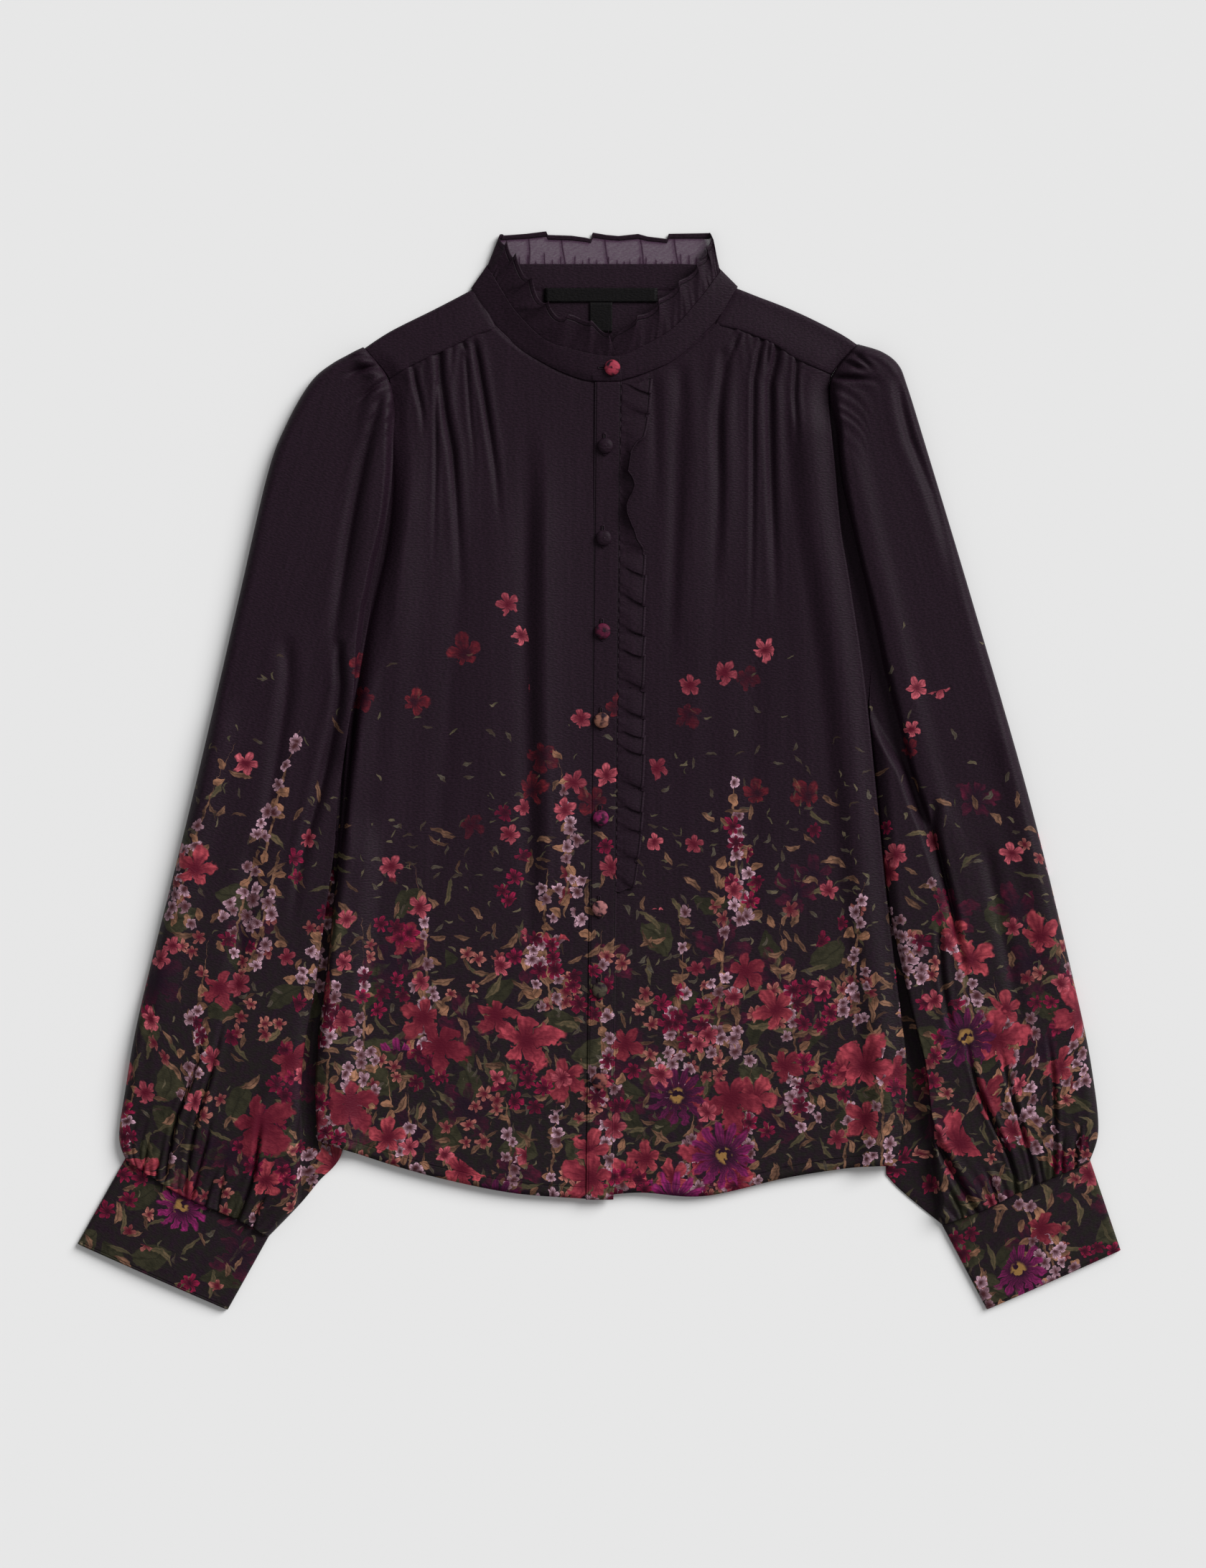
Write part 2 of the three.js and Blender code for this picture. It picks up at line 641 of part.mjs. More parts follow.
// Cuffs: deep bands, closed into a tube and pressed flat.
const CUFF = {
  right: { hem: [{ x: -378, y: -343.5 }, { x: -270, y: -391 }] },
  left: { hem: [{ x: 378, y: -348 }, { x: 281, y: -391 }] },
};
const CUFF_CROWN = 1.4;
const CUFF_SEAM = 0.6; // gap between a sleeve and its cuff, measured down the sleeve
function cuff(side) {
  const above = line(SLEEVE[side].cuff);
  const [start, end] = CUFF[side].hem.map((p) => new THREE.Vector2(p.x, p.y));
  const towardsHem = start.clone().sub(above(0)).normalize();
  const seam = moved(above, towardsHem.x * CUFF_SEAM, towardsHem.y * CUFF_SEAM);
  const hem = straight(start, end);
  const spot = patch(seam, hem, straight(seam(0), start), straight(seam(1), end));
  const high = (x, y, u) => FLAT_TUBE + CUFF_CROWN * sin(PI * u);
  return flatTube(spot, SLEEVE_COLUMNS, steps(2), () => 0, high);
}

// Button band: a strip over the edges of both fronts, from the neck seam to the hem.
const BAND = {
  top: new THREE.Vector2(6.4, 280.2),
  bottom: new THREE.Vector2(0.2, -312.5),
};
function bandSpot(u, v) {
  const p = BAND.top.clone().lerp(BAND.bottom, v);
  return p.add(new THREE.Vector2((u - 0.5) * BAND_WIDTH, 0));
}
const BAND_GAP = 0.5;
const bandUnder = (x, y) => frontTop(x, y) + BAND_GAP;
const buttonBand = () => sheet(bandSpot, steps(4), steps(22), bandUnder);

// Placket frill: gathered on one edge beside the band, its free edge in uneven waves.
const FRILL_END_Y = -88;
const FRILL_WAVES = 15;
function placketFrill() {
  const spot = (u, v) => {
    const y = lerp(280, FRILL_END_Y, v);
    const share = (280.2 - y) / (280.2 + 312.5);
    const edge = lerp(BAND.top.x, BAND.bottom.x, share) + BAND_WIDTH / 2 + SEAM;
    const sway = 1.6 * sin(2 * PI * 3.3 * v + 0.6);
    return new THREE.Vector2(edge + u * (PLACKET_FRILL_WIDTH + sway * u), y);
  };
  const under = (x, y, u = 0, v = 0) => {
    const wave = 0.5 + 0.5 * sin(2 * PI * (FRILL_WAVES * v + 0.35 * sin(9 * v)) + 0.9 * u);
    return frontTop(x, y) + BAND_GAP + 3.2 * wave * rise(u * 1.3 + 0.1);
  };
  return sheet(spot, [0, 0.35, 0.7, 1], steps(75), under);
}

// Stand collar: a band on the neck seam, in sections round the neck from its overlapping end at the
// centre front, by the wearer's right side and the back, to the end under it. low is its seam, top
// its other edge, and free the frill's edge above it.
const COLLAR = [
  { low: [16.2, 281.9, 6.9], top: [14.5, 299.5, 8.8], free: [11, 316, 12] },
  { low: [6, 281.7, 6.9], top: [4.5, 299.6, 8.9], free: [3, 317.5, 13] },
  { low: [-3, 281.8, 6.9], top: [-6, 301.2, 9], free: [-6, 323.5, 13.5] },
  { low: [-14, 283.6, 6.8], top: [-19, 304.4, 9], free: [-16, 327.5, 13] },
  { low: [-33, 291.3, 6], top: [-39.4, 311.4, 8.8], free: [-29, 329, 13] },
  { low: [-58.3, 305.7, 4.8], top: [-59.3, 330.5, 8], free: [-41, 340.5, 12.4] },
  { low: [-76, 322, 3.4], top: [-71, 348, 6.4], free: [-56, 364, 9.6] },
  { low: [-88.2, 341.6, 2.8], top: [-77.6, 359.2, 4.8], free: [-68, 381.5, 5.8] },
  { low: [-92.4, 348.8, 1.7], top: [-81.2, 364.6, 2.6], free: [-72, 387.6, 3] },
  { low: [-88, 347.8, 0.9], top: [-76.5, 367, 0.9], free: [-67, 388.6, 0.9] },
  { low: [-60, 347.4, 0.9], top: [-56, 367, 0.9], free: [-48, 388.6, 0.9] },
  { low: [-30, 347.4, 0.9], top: [-29, 367, 0.9], free: [-25, 386, 0.9] },
  { low: [3, 347.4, 0.9], top: [3, 367, 0.9], free: [3, 387, 0.9] },
  { low: [36, 347.4, 0.9], top: [35, 367, 0.9], free: [33, 386, 0.9] },
  { low: [68, 347.6, 0.9], top: [62, 367, 0.9], free: [58, 388.4, 0.9] },
  { low: [96, 348.6, 0.9], top: [82.5, 365, 0.9], free: [76, 389.4, 0.9] },
  { low: [99.6, 349.8, 1.7], top: [87, 361.6, 2.6], free: [81, 389.4, 3] },
  { low: [95, 342.2, 2.8], top: [82.4, 354.4, 4.8], free: [76.5, 374, 5.8] },
  { low: [84.4, 325.4, 3.4], top: [74, 343, 6.4], free: [67, 361, 9.6] },
  { low: [57.2, 299.5, 4.8], top: [54, 320.6, 7.2], free: [49, 344, 11.8] },
  { low: [36.6, 289.2, 5.4], top: [33, 307.6, 7.2], free: [32, 329, 12] },
  { low: [15.5, 282.6, 5.3], top: [14, 299.4, 7.1], free: [20, 322, 10.6] },
  { low: [-1, 282.4, 5.2], top: [-2, 298.6, 7], free: [13.5, 316.5, 10] },
];
const collarLine = (edge) =>
  new THREE.CatmullRomCurve3(
    COLLAR.map((row) => new THREE.Vector3(...row[edge])),
    false,
    "centripetal",
  );
const COLLAR_LINES = {
  low: collarLine("low"),
  top: collarLine("top"),
  free: collarLine("free"),
};
const alongCollar = (edge, s) => COLLAR_LINES[edge].getPoint(s);
const STAND_SECTIONS = 66;
const stand = () =>
  band(
    steps(2).map((t) =>
      steps(STAND_SECTIONS).map((s) => alongCollar("low", s).lerp(alongCollar("top", s), t)),
    ),
  );

// Collar frill: one gathered layer on the stand's upper edge. At the front it stands up in waves,
// and at the back it lies flat in a few pressed pleats.
const COLLAR_FRILL_WAVES = 23;
const FRILL_SECTIONS = 116;
const FRILL_FROM = 0.012; // its ends stop short of the stand's
const FRILL_GAP = 0.08; // share of the frill's depth that is left open at the gathered seam
function collarFrill() {
  return band(
    [0, 0.35, 0.7, 1].map((t) =>
      steps(FRILL_SECTIONS).map((share) => {
        const s = lerp(FRILL_FROM, 1 - FRILL_FROM, share);
        const back = rise((s - 0.34) / 0.06) * (1 - rise((s - 0.68) / 0.06));
        const wave = sin(2 * PI * (COLLAR_FRILL_WAVES * share + 0.3 * sin(14 * share)));
        const p = alongCollar("top", s).lerp(alongCollar("free", s), lerp(FRILL_GAP, 1, t));
        p.z += lerp(1.3 * wave, 0.5 + 0.5 * wave, back) * rise(t + 0.05);
        return p;
      }),
    ),
  );
}

// Covered buttons: a fabric dome over a shell, turned about its own axis.
const BUTTONS = [
  { x: 9.3, y: 291 },
  { x: 4.4, y: 234.6 },
  { x: 3.2, y: 167.9 },
  { x: 2.4, y: 100.5 },
  { x: 1.8, y: 36 },
  { x: 1, y: -34.6 },
  { x: 0.4, y: -100.2 },
  { x: 0.2, y: -159.1 },
  { x: 0.2, y: -224.9 },
];
function button() {
  const rim = BUTTON_HEIGHT * 0.32;
  const profile = [
    new THREE.Vector2(0, 0),
    new THREE.Vector2(BUTTON_RADIUS * 0.82, 0),
    new THREE.Vector2(BUTTON_RADIUS, rim),
    ...[0.3, 0.6, 0.85].map((t) => {
      const angle = (t * PI) / 2;
      return new THREE.Vector2(BUTTON_RADIUS * cos(angle), rim + (BUTTON_HEIGHT - rim) * sin(angle));
    }),
    new THREE.Vector2(0, BUTTON_HEIGHT),
  ];
  return new THREE.LatheGeometry(profile, 12).rotateX(PI / 2);
}
// A button on the band rests on it, and the first rests on the collar's overlapping end.
const COLLAR_END_TOP = 8.7;
const buttonHeight = ({ x, y }, i) =>
  (i ? bandUnder(x, y) + thickness(bandUnder, x, y) : COLLAR_END_TOP) + SEAM;

// Labels: woven strips on the inside of the back, below the stand.
function label({ width, depth }) {
  return new THREE.BoxGeometry(width, depth, CLOTH);
}

const CLOTH_LOOKS = { color: 0x2a2027, roughness: 0.6, metalness: 0 };
const TRIM_LOOKS = { color: 0x1d191a, roughness: 0.8, metalness: 0 };
function piece(name, geometry, looks = CLOTH_LOOKS) {
  const mesh = new THREE.Mesh(geometry, new THREE.MeshStandardMaterial(looks));
  mesh.name = name;
  return mesh;
}

const blouse = new THREE.Group();
blouse.add(
  piece("back", back()),
  piece("yoke", yoke()),
  piece("front_right", front("right")),
  piece("front_left", front("left")),
  piece("sleeve_right", sleeve("right")),
  piece("sleeve_left", sleeve("left")),
  piece("cuff_right", cuff("right")),
  piece("cuff_left", cuff("left")),
  piece("button_band", buttonBand()),
  piece("placket_frill", placketFrill()),
  piece("collar_stand", stand()),
  piece("collar_frill", collarFrill()),
);
BUTTONS.forEach((place, i) => {
  const mesh = piece(`button_${i + 1}`, button());
  mesh.position.set(place.x, place.y, buttonHeight(place, i));
  blouse.add(mesh);
});
for (const [name, tag] of [["neck_label", NECK_LABEL], ["size_tab", SIZE_TAB]]) {
  const mesh = piece(name, label(tag), TRIM_LOOKS);
  mesh.position.set(tag.x, tag.y, CLOTH + SEAM + CLOTH / 2);
  blouse.add(mesh);
}

// The frame's origin is under the middle of the bounding box.
const box = new THREE.Box3().setFromObject(blouse);
const middle = box.getCenter(new THREE.Vector3());
blouse.position.set(-middle.x, -middle.y, -box.min.z);

export default blouse;
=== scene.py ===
import bpy
import numpy as np
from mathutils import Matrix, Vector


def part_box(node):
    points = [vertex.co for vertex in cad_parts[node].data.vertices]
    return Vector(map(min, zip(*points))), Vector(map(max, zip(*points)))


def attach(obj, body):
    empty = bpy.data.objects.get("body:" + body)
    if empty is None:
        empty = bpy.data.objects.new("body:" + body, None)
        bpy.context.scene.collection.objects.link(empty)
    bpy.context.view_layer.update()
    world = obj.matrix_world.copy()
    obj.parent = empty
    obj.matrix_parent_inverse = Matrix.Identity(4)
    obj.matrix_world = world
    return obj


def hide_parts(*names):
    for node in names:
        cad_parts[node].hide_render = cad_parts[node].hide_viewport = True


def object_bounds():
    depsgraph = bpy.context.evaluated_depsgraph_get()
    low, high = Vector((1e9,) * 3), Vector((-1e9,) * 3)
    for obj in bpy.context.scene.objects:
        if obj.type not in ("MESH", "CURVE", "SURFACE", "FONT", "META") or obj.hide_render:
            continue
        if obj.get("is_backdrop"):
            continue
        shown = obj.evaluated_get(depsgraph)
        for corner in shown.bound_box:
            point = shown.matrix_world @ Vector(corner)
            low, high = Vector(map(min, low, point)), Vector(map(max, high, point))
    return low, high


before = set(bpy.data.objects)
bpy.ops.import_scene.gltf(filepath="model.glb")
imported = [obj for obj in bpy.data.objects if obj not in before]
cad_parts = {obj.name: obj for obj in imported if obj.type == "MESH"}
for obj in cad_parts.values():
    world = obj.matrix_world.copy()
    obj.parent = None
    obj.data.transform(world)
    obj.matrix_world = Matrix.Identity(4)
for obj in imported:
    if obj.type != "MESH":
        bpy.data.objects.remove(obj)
cad_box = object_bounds()

# Printed crepe, which nearly all of the blouse is cut from: a fine viscose with a dull sheen and
# slubs across it. The border of flowers and leaves rises from the hem and the cuffs and thins out
# upwards. Each piece's mesh carries where it lies on the cloth, in metres above the border's foot.

SLEEVE_CLOTH = 1.0  # where on the cloth the sleeves are cut, along the border, in metres
CUFF_CLOTH = 3.0
FULL_TURN = 6.283


class Link:
    """A socket of a shader. Sums on it add Math nodes, and add() makes any other node."""

    def __init__(self, tree, socket=None):
        self.tree = tree
        self.socket = socket

    def add(self, kind, settings=None, values=None, out=0):
        node = self.tree.nodes.new("ShaderNode" + kind)
        for name, setting in (settings or {}).items():
            setattr(node, name, setting)
        for place, value in (values or {}).items():
            if isinstance(value, Link):
                self.tree.links.new(value.socket, node.inputs[place])
            else:
                node.inputs[place].default_value = value
        return Link(self.tree, node.outputs[out])

    def sum(self, operation, *values):
        return self.add("Math", {"operation": operation}, dict(enumerate(values)))

    def __add__(self, other):
        return self.sum("ADD", self, other)

    def __sub__(self, other):
        return self.sum("SUBTRACT", self, other)

    def __rsub__(self, other):
        return self.sum("SUBTRACT", other, self)

    def __mul__(self, other):
        return self.sum("MULTIPLY", self, other)

    def __truediv__(self, other):
        return self.sum("DIVIDE", self, other)

    def __pow__(self, other):
        return self.sum("POWER", self, other)

    def __gt__(self, other):
        return self.sum("GREATER_THAN", self, other)

    def __abs__(self):
        return self.sum("ABSOLUTE", self)

    __radd__ = __add__
    __rmul__ = __mul__

    def between(self, low, high, start=0.0, end=1.0):
        """start up to low and end from high, with a soft step between them."""
        steps = {0: self, 1: low, 2: high, 3: start, 4: end}
        return self.add("MapRange", {"interpolation_type": "SMOOTHSTEP"}, steps)

    def vector(self, operation, other, out=0):
        return self.add("VectorMath", {"operation": operation}, {0: self, 1: other}, out)

    def parts(self):
        """The three numbers of a vector or a colour."""
        node = self.add("SeparateXYZ", values={0: self}).socket.node
        return [Link(self.tree, socket) for socket in node.outputs]

    def mix(self, first, second):
        """The first colour where this mask is 0 and the second where it is 1."""
        return self.add("Mix", {"data_type": "RGBA"}, {0: self, 6: first, 7: second}, 2)


def cells(cloth, width, length, seed):
    """One spot in each cell of the cloth. Gives the way from the spot, in cells, with where the
    spot is on the cloth and three random numbers for it."""
    shift = (seed, seed * 1.7, 0)
    grid = cloth.vector("MULTIPLY", (1 / width, 1 / length, 0)).vector("ADD", shift)
    wanted = {"Vector": grid, "Scale": 1.0, "Randomness": 0.85}
    spot = grid.add("TexVoronoi", {"voronoi_dimensions": "2D"}, wanted, "Position")
    luck = spot.add("TexWhiteNoise", {"noise_dimensions": "2D"}, {0: spot}, 1)
    where = spot.vector("SUBTRACT", shift).vector("MULTIPLY", (width, length, 0))
    return grid.vector("SUBTRACT", spot), where, luck.parts()


def flowers(cloth, speck, kind, chance, heart=None):
    """A layer of printed flowers, turned every way, as a mask and a colour. kind is the size of a
    cell, the petals, how slim they are, how much longer on one side, the radius, the colours of the
    middle and the rim, and the seed. chance is called with where a flower's centre is on the cloth."""
    size, petals, slim, lean, radius, dark, light, seed = kind
    way, where, (turn, tint, gone) = cells(cloth, size, size, seed)
    way = way.add("VectorRotate", {"rotation_type": "Z_AXIS"}, {0: way, 3: turn * FULL_TURN})
    across, up, flat = way.parts()
    reach = way.vector("DOT_PRODUCT", way, "Value") ** 0.5
    wave = up.sum("ARCTAN2", up, across) * (petals / 2) + speck[0] * 0.7
    lobe = abs(wave.sum("COSINE", wave)) ** slim
    full = (0.24 + 0.76 * lobe) * (1 + lean * (across / reach))
    full = full * (0.62 + 0.3 * tint + 0.16 * speck[0])
    out = reach / (full * radius)
    mask = out.between(0.9, 1.04, 1.0, 0.0) * (chance(where) > gone)
    vein = wave.sum("COSINE", wave * 7)
    tone = out.between(0.1, 1.0, 0.02, 1.0) * lobe.between(0.15, 0.85, 0.06, 1.0) * (0.85 + 0.25 * vein)
    tone = tone * (0.45 + 0.6 * speck[1]) * (0.3 + 0.8 * turn)
    petal = tone.mix(dark, light)
    if heart:
        petal = (reach.between(0.07, 0.11, 1.0, 0.0) * speck[2].between(0.35, 0.55)).mix(petal, heart)
    return mask, petal


def leaves(cloth, speck, kind, chance):
    """A layer of printed leaves or blades of grass, mostly upright. kind is the size of a cell, the
    width, the colours of the edge and the middle, and the seed."""
    size, slim, dark, light, seed = kind
    way, where, (turn, tint, gone) = cells(cloth, size, size, seed)
    way = way.add("VectorRotate", {"rotation_type": "Z_AXIS"}, {0: way, 3: turn * 3.2 - 1.6})
    across, up, flat = way.parts()
    bend = up * up
    off = abs(across + bend * (tint * 2.4 - 1.2))
    width = (0.19 - bend) * (slim + slim * tint)
    mask = (width - off).between(0.0, 0.03) * (chance(where) > gone)
    tone = off.between(0.0, 0.03, 0.3, 1.0) * (0.25 + 0.9 * speck[1]) * (0.3 + 0.7 * tint)
    return mask, tone.mix(dark, light)


def spike(cloth):
    """Tall cones, each with a stem up its middle: how far from the stem, in cells, the taper of the
    cone there, and whether this spike is printed at all."""
    way, where, (turn, tint, gone) = cells(cloth, 0.042, 0.125, 1.3)
    across, up, flat = way.parts()
    off = abs(across + up * up * (turn * 1.3 - 0.65) + up * (tint * 0.5 - 0.25))
    taper = up.between(-0.4, 0.46, 0.40, 0.04) * (up > -0.42)
    along, height, flat = where.parts()
    there = height.between(0.19, 0.38, 0.72, 0.0) * (1 - 0.55 * (along > CUFF_CLOTH))
    return off, taper, there > gone


def border(cloth, ground):
    """The printed border, from the haze behind it to the flowers in front."""
    noise = cloth.add("TexNoise", {}, {0: cloth, 2: 190.0, 3: 1.5}, 1)
    speck = [channel.between(0.25, 0.75) for channel in noise.parts()]
    bent = noise.vector("SUBTRACT", (0.5, 0.5, 0.5)).vector("MULTIPLY", (0.0045, 0.0045, 0.0))
    cloth = cloth.vector("ADD", bent)
    height = cloth.parts()[1]
    colour = (height.between(0.02, 0.3, 0.75, 0.0) * speck[2]).mix(ground, (0.0125, 0.0125, 0.0085, 1))

    def upward(full, none, most, cuffs=0.7):
        """Thins out upwards. The sleeves, and above all the cuffs, are cut where there is less."""
        def chance(where):
            along, up, flat = where.parts()
            fewer = 1 - 0.4 * (along > SLEEVE_CLOTH) - (0.6 - cuffs) * (along > CUFF_CLOTH)
            return up.between(full, none, most, 0.0) * fewer
        return chance

    def clumps(width, seed, full, none, most):
        thinning = upward(full, none, 1.0, 0.5)

        def chance(where):
            way, middle, luck = cells(where, width, width, seed)
            return way.vector("DOT_PRODUCT", way, "Value").between(0.04, 0.12, most, 0.0) * thinning(middle)
        return chance

    def belt(low, high, most):
        def chance(where):
            along, up, flat = where.parts()
            there = up.between(low, low + 0.05, 0.0, most) * up.between(high - 0.05, high, 1.0, 0.0)
            return there * (1 - 0.9 * (along > SLEEVE_CLOTH))
        return chance

    def astray(where):
        """Single blossoms, which come right up to the chest."""
        along, up, flat = where.parts()
        few = up.between(0.10, 0.30, 0.16, 0.085) * up.between(0.43, 0.47, 1.0, 0.12)
        return few * up.between(0.57, 0.6, 1.0, 0.0) * (1 - 0.8 * (along > CUFF_CLOTH))

    def faded(*kind):
        """Flowers printed so thin that the ground shows through in places."""
        mask, paint = flowers(*kind)
        return mask * (0.35 + 0.65 * speck[2]), paint

    def asters(*kind):
        return flowers(*kind, heart=(0.26, 0.14, 0.045, 1))

    def stems(cloth, speck, colours, chance):
        """A stem up the middle of every spike, whatever chance says."""
        off, taper, there = spike(cloth)
        mask = ((taper * 9.0).between(0.2, 1.0, 0.0, 0.022) > off) * there
        return mask, speck[1].mix(*colours)

    def on_spike(spread):
        def chance(where):
            off, taper, there = spike(where)
            return ((taper * spread) > off) * there * 0.72
        return chance

    dusk = (0.028, 0.003, 0.010, 1)
    wine = (0.075, 0.004, 0.014, 1)
    night = (0.012, 0.004, 0.012, 1)
    olive = (0.040, 0.036, 0.020, 1)
    brown = (0.026, 0.013, 0.010, 1)
    tan = (0.235, 0.12, 0.075, 1)
    ash = (0.085, 0.072, 0.055, 1)
    moss = (0.014, 0.013, 0.008, 1)
    bud = (0.05, 0.012, 0.014, 1)
    layers = (
        (leaves, (0.036, 0.9, moss, olive, 3.1), upward(0.06, 0.26, 0.9)),
        (leaves, (0.027, 0.28, olive, (0.13, 0.09, 0.05, 1), 9.4), upward(0.05, 0.30, 0.95)),
        (faded, (0.044, 5, 0.9, 0.2, 0.50, night, (0.11, 0.009, 0.030, 1), 2.2), upward(0.10, 0.30, 0.6)),
        (leaves, (0.0105, 0.42, brown, ash, 2.7), upward(0.20, 0.44, 0.24)),
        (leaves, (0.008, 0.35, olive, (0.14, 0.11, 0.07, 1), 8.3), upward(0.22, 0.42, 0.14)),
        (leaves, (0.015, 0.42, brown, tan, 5.2), upward(0.08, 0.34, 0.5)),
        (leaves, (0.022, 0.35, brown, tan, 7.7), upward(0.10, 0.34, 0.36)),
        (faded, (0.040, 5, 0.45, 0.35, 0.31, dusk, (0.21, 0.018, 0.026, 1), 3.7), belt(0.22, 0.41, 0.26)),
        (flowers, (0.0125, 5, 0.7, 0.1, 0.52, wine, (0.50, 0.19, 0.15, 1), 4.4),
         clumps(0.055, 2.9, 0.12, 0.26, 0.9)),
        (stems, (brown, tan), None),
        (leaves, (0.012, 0.8, brown, (0.36, 0.17, 0.10, 1), 6.1), on_spike(1.2)),
        (flowers, (0.0094, 5, 0.35, 0.0, 0.62, bud, (0.72, 0.44, 0.55, 1), 1.9), on_spike(0.9)),
        (flowers, (0.040, 5, 0.6, 0.22, 0.44, wine, (0.50, 0.075, 0.095, 1), 4.9),
         upward(0.10, 0.26, 0.40, 0.3)),
        (flowers, (0.013, 6, 0.7, 0.2, 0.6, dusk, (0.33, 0.012, 0.06, 1), 8.8),
         clumps(0.072, 7.3, 0.13, 0.30, 0.9)),
        (flowers, (0.062, 5, 0.65, 0.28, 0.41, wine, (0.44, 0.058, 0.082, 1), 8.2),
         upward(0.11, 0.22, 0.46, 0.25)),
        (asters, (0.060, 13, 0.55, 0.05, 0.46, night, (0.27, 0.018, 0.125, 1), 6.6),
         upward(0.06, 0.14, 0.44, 0.45)),
        (flowers, (0.023, 5, 0.5, 0.0, 0.42, wine, (0.60, 0.12, 0.155, 1), 2.3), astray),
    )
    for layer, kind, chance in layers:
        mask, paint = layer(cloth, speck, kind, chance)
        colour = mask.mix(colour, paint)
    return colour


def crepe(name, printed=True, base=(0.0146, 0.0066, 0.0125, 1), sheer=False, blot=None):
    """The cloth, with or without its print. A sheer one lets light through, apart from its hem, and
    a blot is a part of a printed flower."""
    material = bpy.data.materials.new(name)
    material.use_nodes = True
    tree = material.node_tree
    shader = tree.nodes["Principled BSDF"]
    cloth = Link(tree).add("Attribute", {"attribute_name": "cloth"}, out="Vector")
    past = cloth.add("Attribute", {"attribute_name": "stitch"}, out="Fac")
    line = abs(past).between(0.0002, 0.0006, 1.0, 0.0)
    threads = {0: cloth.vector("MULTIPLY", (420.0, 900.0, 1.0)), 2: 1.0, 3: 2.0}
    crinkle = cloth.add("TexNoise", {}, threads)
    slub = cloth.add("TexNoise", {}, {0: cloth.vector("MULTIPLY", (300.0, 16.0, 1.0)), 2: 1.0, 3: 1.0})
    tone = crinkle.between(0.25, 0.75, 0.7, 1.3) * slub.between(0.3, 0.7, 0.93, 1.07) * (1 - 0.45 * line)
    colour = tone.add("VectorMath", {"operation": "SCALE"}, {0: base[:3], 3: tone})
    if printed:
        colour = border(cloth, colour)
    if blot:
        patches = cloth.add("TexNoise", {}, {0: cloth, 2: 230.0, 3: 1.0})
        colour = patches.between(0.33, 0.58).mix(colour, blot)
    shader.inputs["Roughness"].default_value = 0.55
    shader.inputs["Specular IOR Level"].default_value = 0.09
    height = crinkle - line
    bump = height.add("Bump", {}, {"Strength": 0.7, "Distance": 0.0005, "Height": height})
    tree.links.new(bump.socket, shader.inputs["Normal"])
    if sheer:
        thin = cloth.add("Attribute", {"attribute_name": "sheer"}, out="Fac")
        thin = thin * past.between(-0.0006, -0.0002, 1.0, 0.0)
        colour = thin.mix(colour, (0.080, 0.030, 0.072, 1))
        alpha = 1 - thin * crinkle.between(0.3, 0.7, 0.46, 0.60)
        tree.links.new(alpha.socket, shader.inputs["Alpha"])
    tree.links.new(colour.socket, shader.inputs["Base Color"])
    return material


printed_crepe = crepe("printed_crepe")

# Back panel: one flat piece of crepe from the yoke seam to the curved hem. The blouse lies on it,
# and beside the hem it rides up over the sleeves, which are tucked under its edges.

SIDE_RIGHT = (  # y, x, how far the sleeve's inner edge laps the body's edge
    (-268, -203.8, 17), (-235, -205.3, 20), (-200, -204, 20), (-157, -198.5, 14),
    (-114, -193.6, 7), (-62, -189, -1.4), (-30, -187, -1.6), (15, -183.6, -1.4),
    (60, -179.5, 3.5), (111, -171, 4), (165, -163.5, 6.6), (208, -158.5, 8),
    (255, -155.8, 6.8), (274, -153.4, 4), (283.7, -153, -0.5), (305.2, -170.6, -0.5),
)
SIDE_LEFT = (
    (-286.6, 215.8, 8), (-251, 220.2, 12), (-212, 222.2, 16), (-183, 219, 17),
    (-97, 208.5, 16), (-2, 199.1, 15), (68, 191.5, 14), (139, 180.8, 13),
    (175, 174.8, 12), (222, 170.4, 10), (243, 168.2, 2), (271, 166.4, -0.3),
    (286.9, 168.9, -0.3), (308.4, 187.2, -0.3),
)
HEM_RIGHT = ((-8.4, -310.5), (-60, -306.6), (-107, -297.5), (-150, -286), (-203.8, -268))
HEM_LEFT = ((-7.4, -309.5), (29, -306), (76, -308.5), (137, -295), (188, -287.4), (215.8, -286.6))
BACK_SEAM_Y = 272
LIFT = 4.4  # what the body's edge climbs, where a sleeve lies under it
FOOT_Y = -310  # where the printed border starts
BACK_TOP = 0.8  # the back's upper side, where it lies on the floor
UNDER_SLEEVE = 4.5  # how far the back reaches under the wearer's right sleeve


def rise(t):
    t = np.clip(t, 0, 1)
    return t * t * (3 - 2 * t)


def reading(rows, what):
    """A smooth value from a table, read by its first column."""
    place, value = (np.array([row[k] for row in rows], float) for k in (0, what))
    last = len(rows) - 1
    low = np.maximum(np.arange(last + 1) - 1, 0)
    high = np.minimum(np.arange(last + 1) + 1, last)
    slope = (value[high] - value[low]) / (place[high] - place[low])

    def read(at):
        at = np.clip(at, place[0], place[-1])
        i = np.clip(np.searchsorted(place, at), 1, last)
        width = place[i] - place[i - 1]
        t = (at - place[i - 1]) / width
        return (
            value[i - 1] * (1 + 2 * t) * (1 - t) ** 2
            + slope[i - 1] * width * t * (1 - t) ** 2
            + value[i] * t * t * (3 - 2 * t)
            + slope[i] * width * t * t * (t - 1)
        )

    return read


def curve(a, b, c, d, t):
    """A place between b and c, on the smooth line through four points."""
    bend = t**2 * (a - 2.5 * b + 2 * c - d / 2)
    return b + t / 2 * (c - a) + bend + t**3 / 2 * (3 * b - a - 3 * c + d)


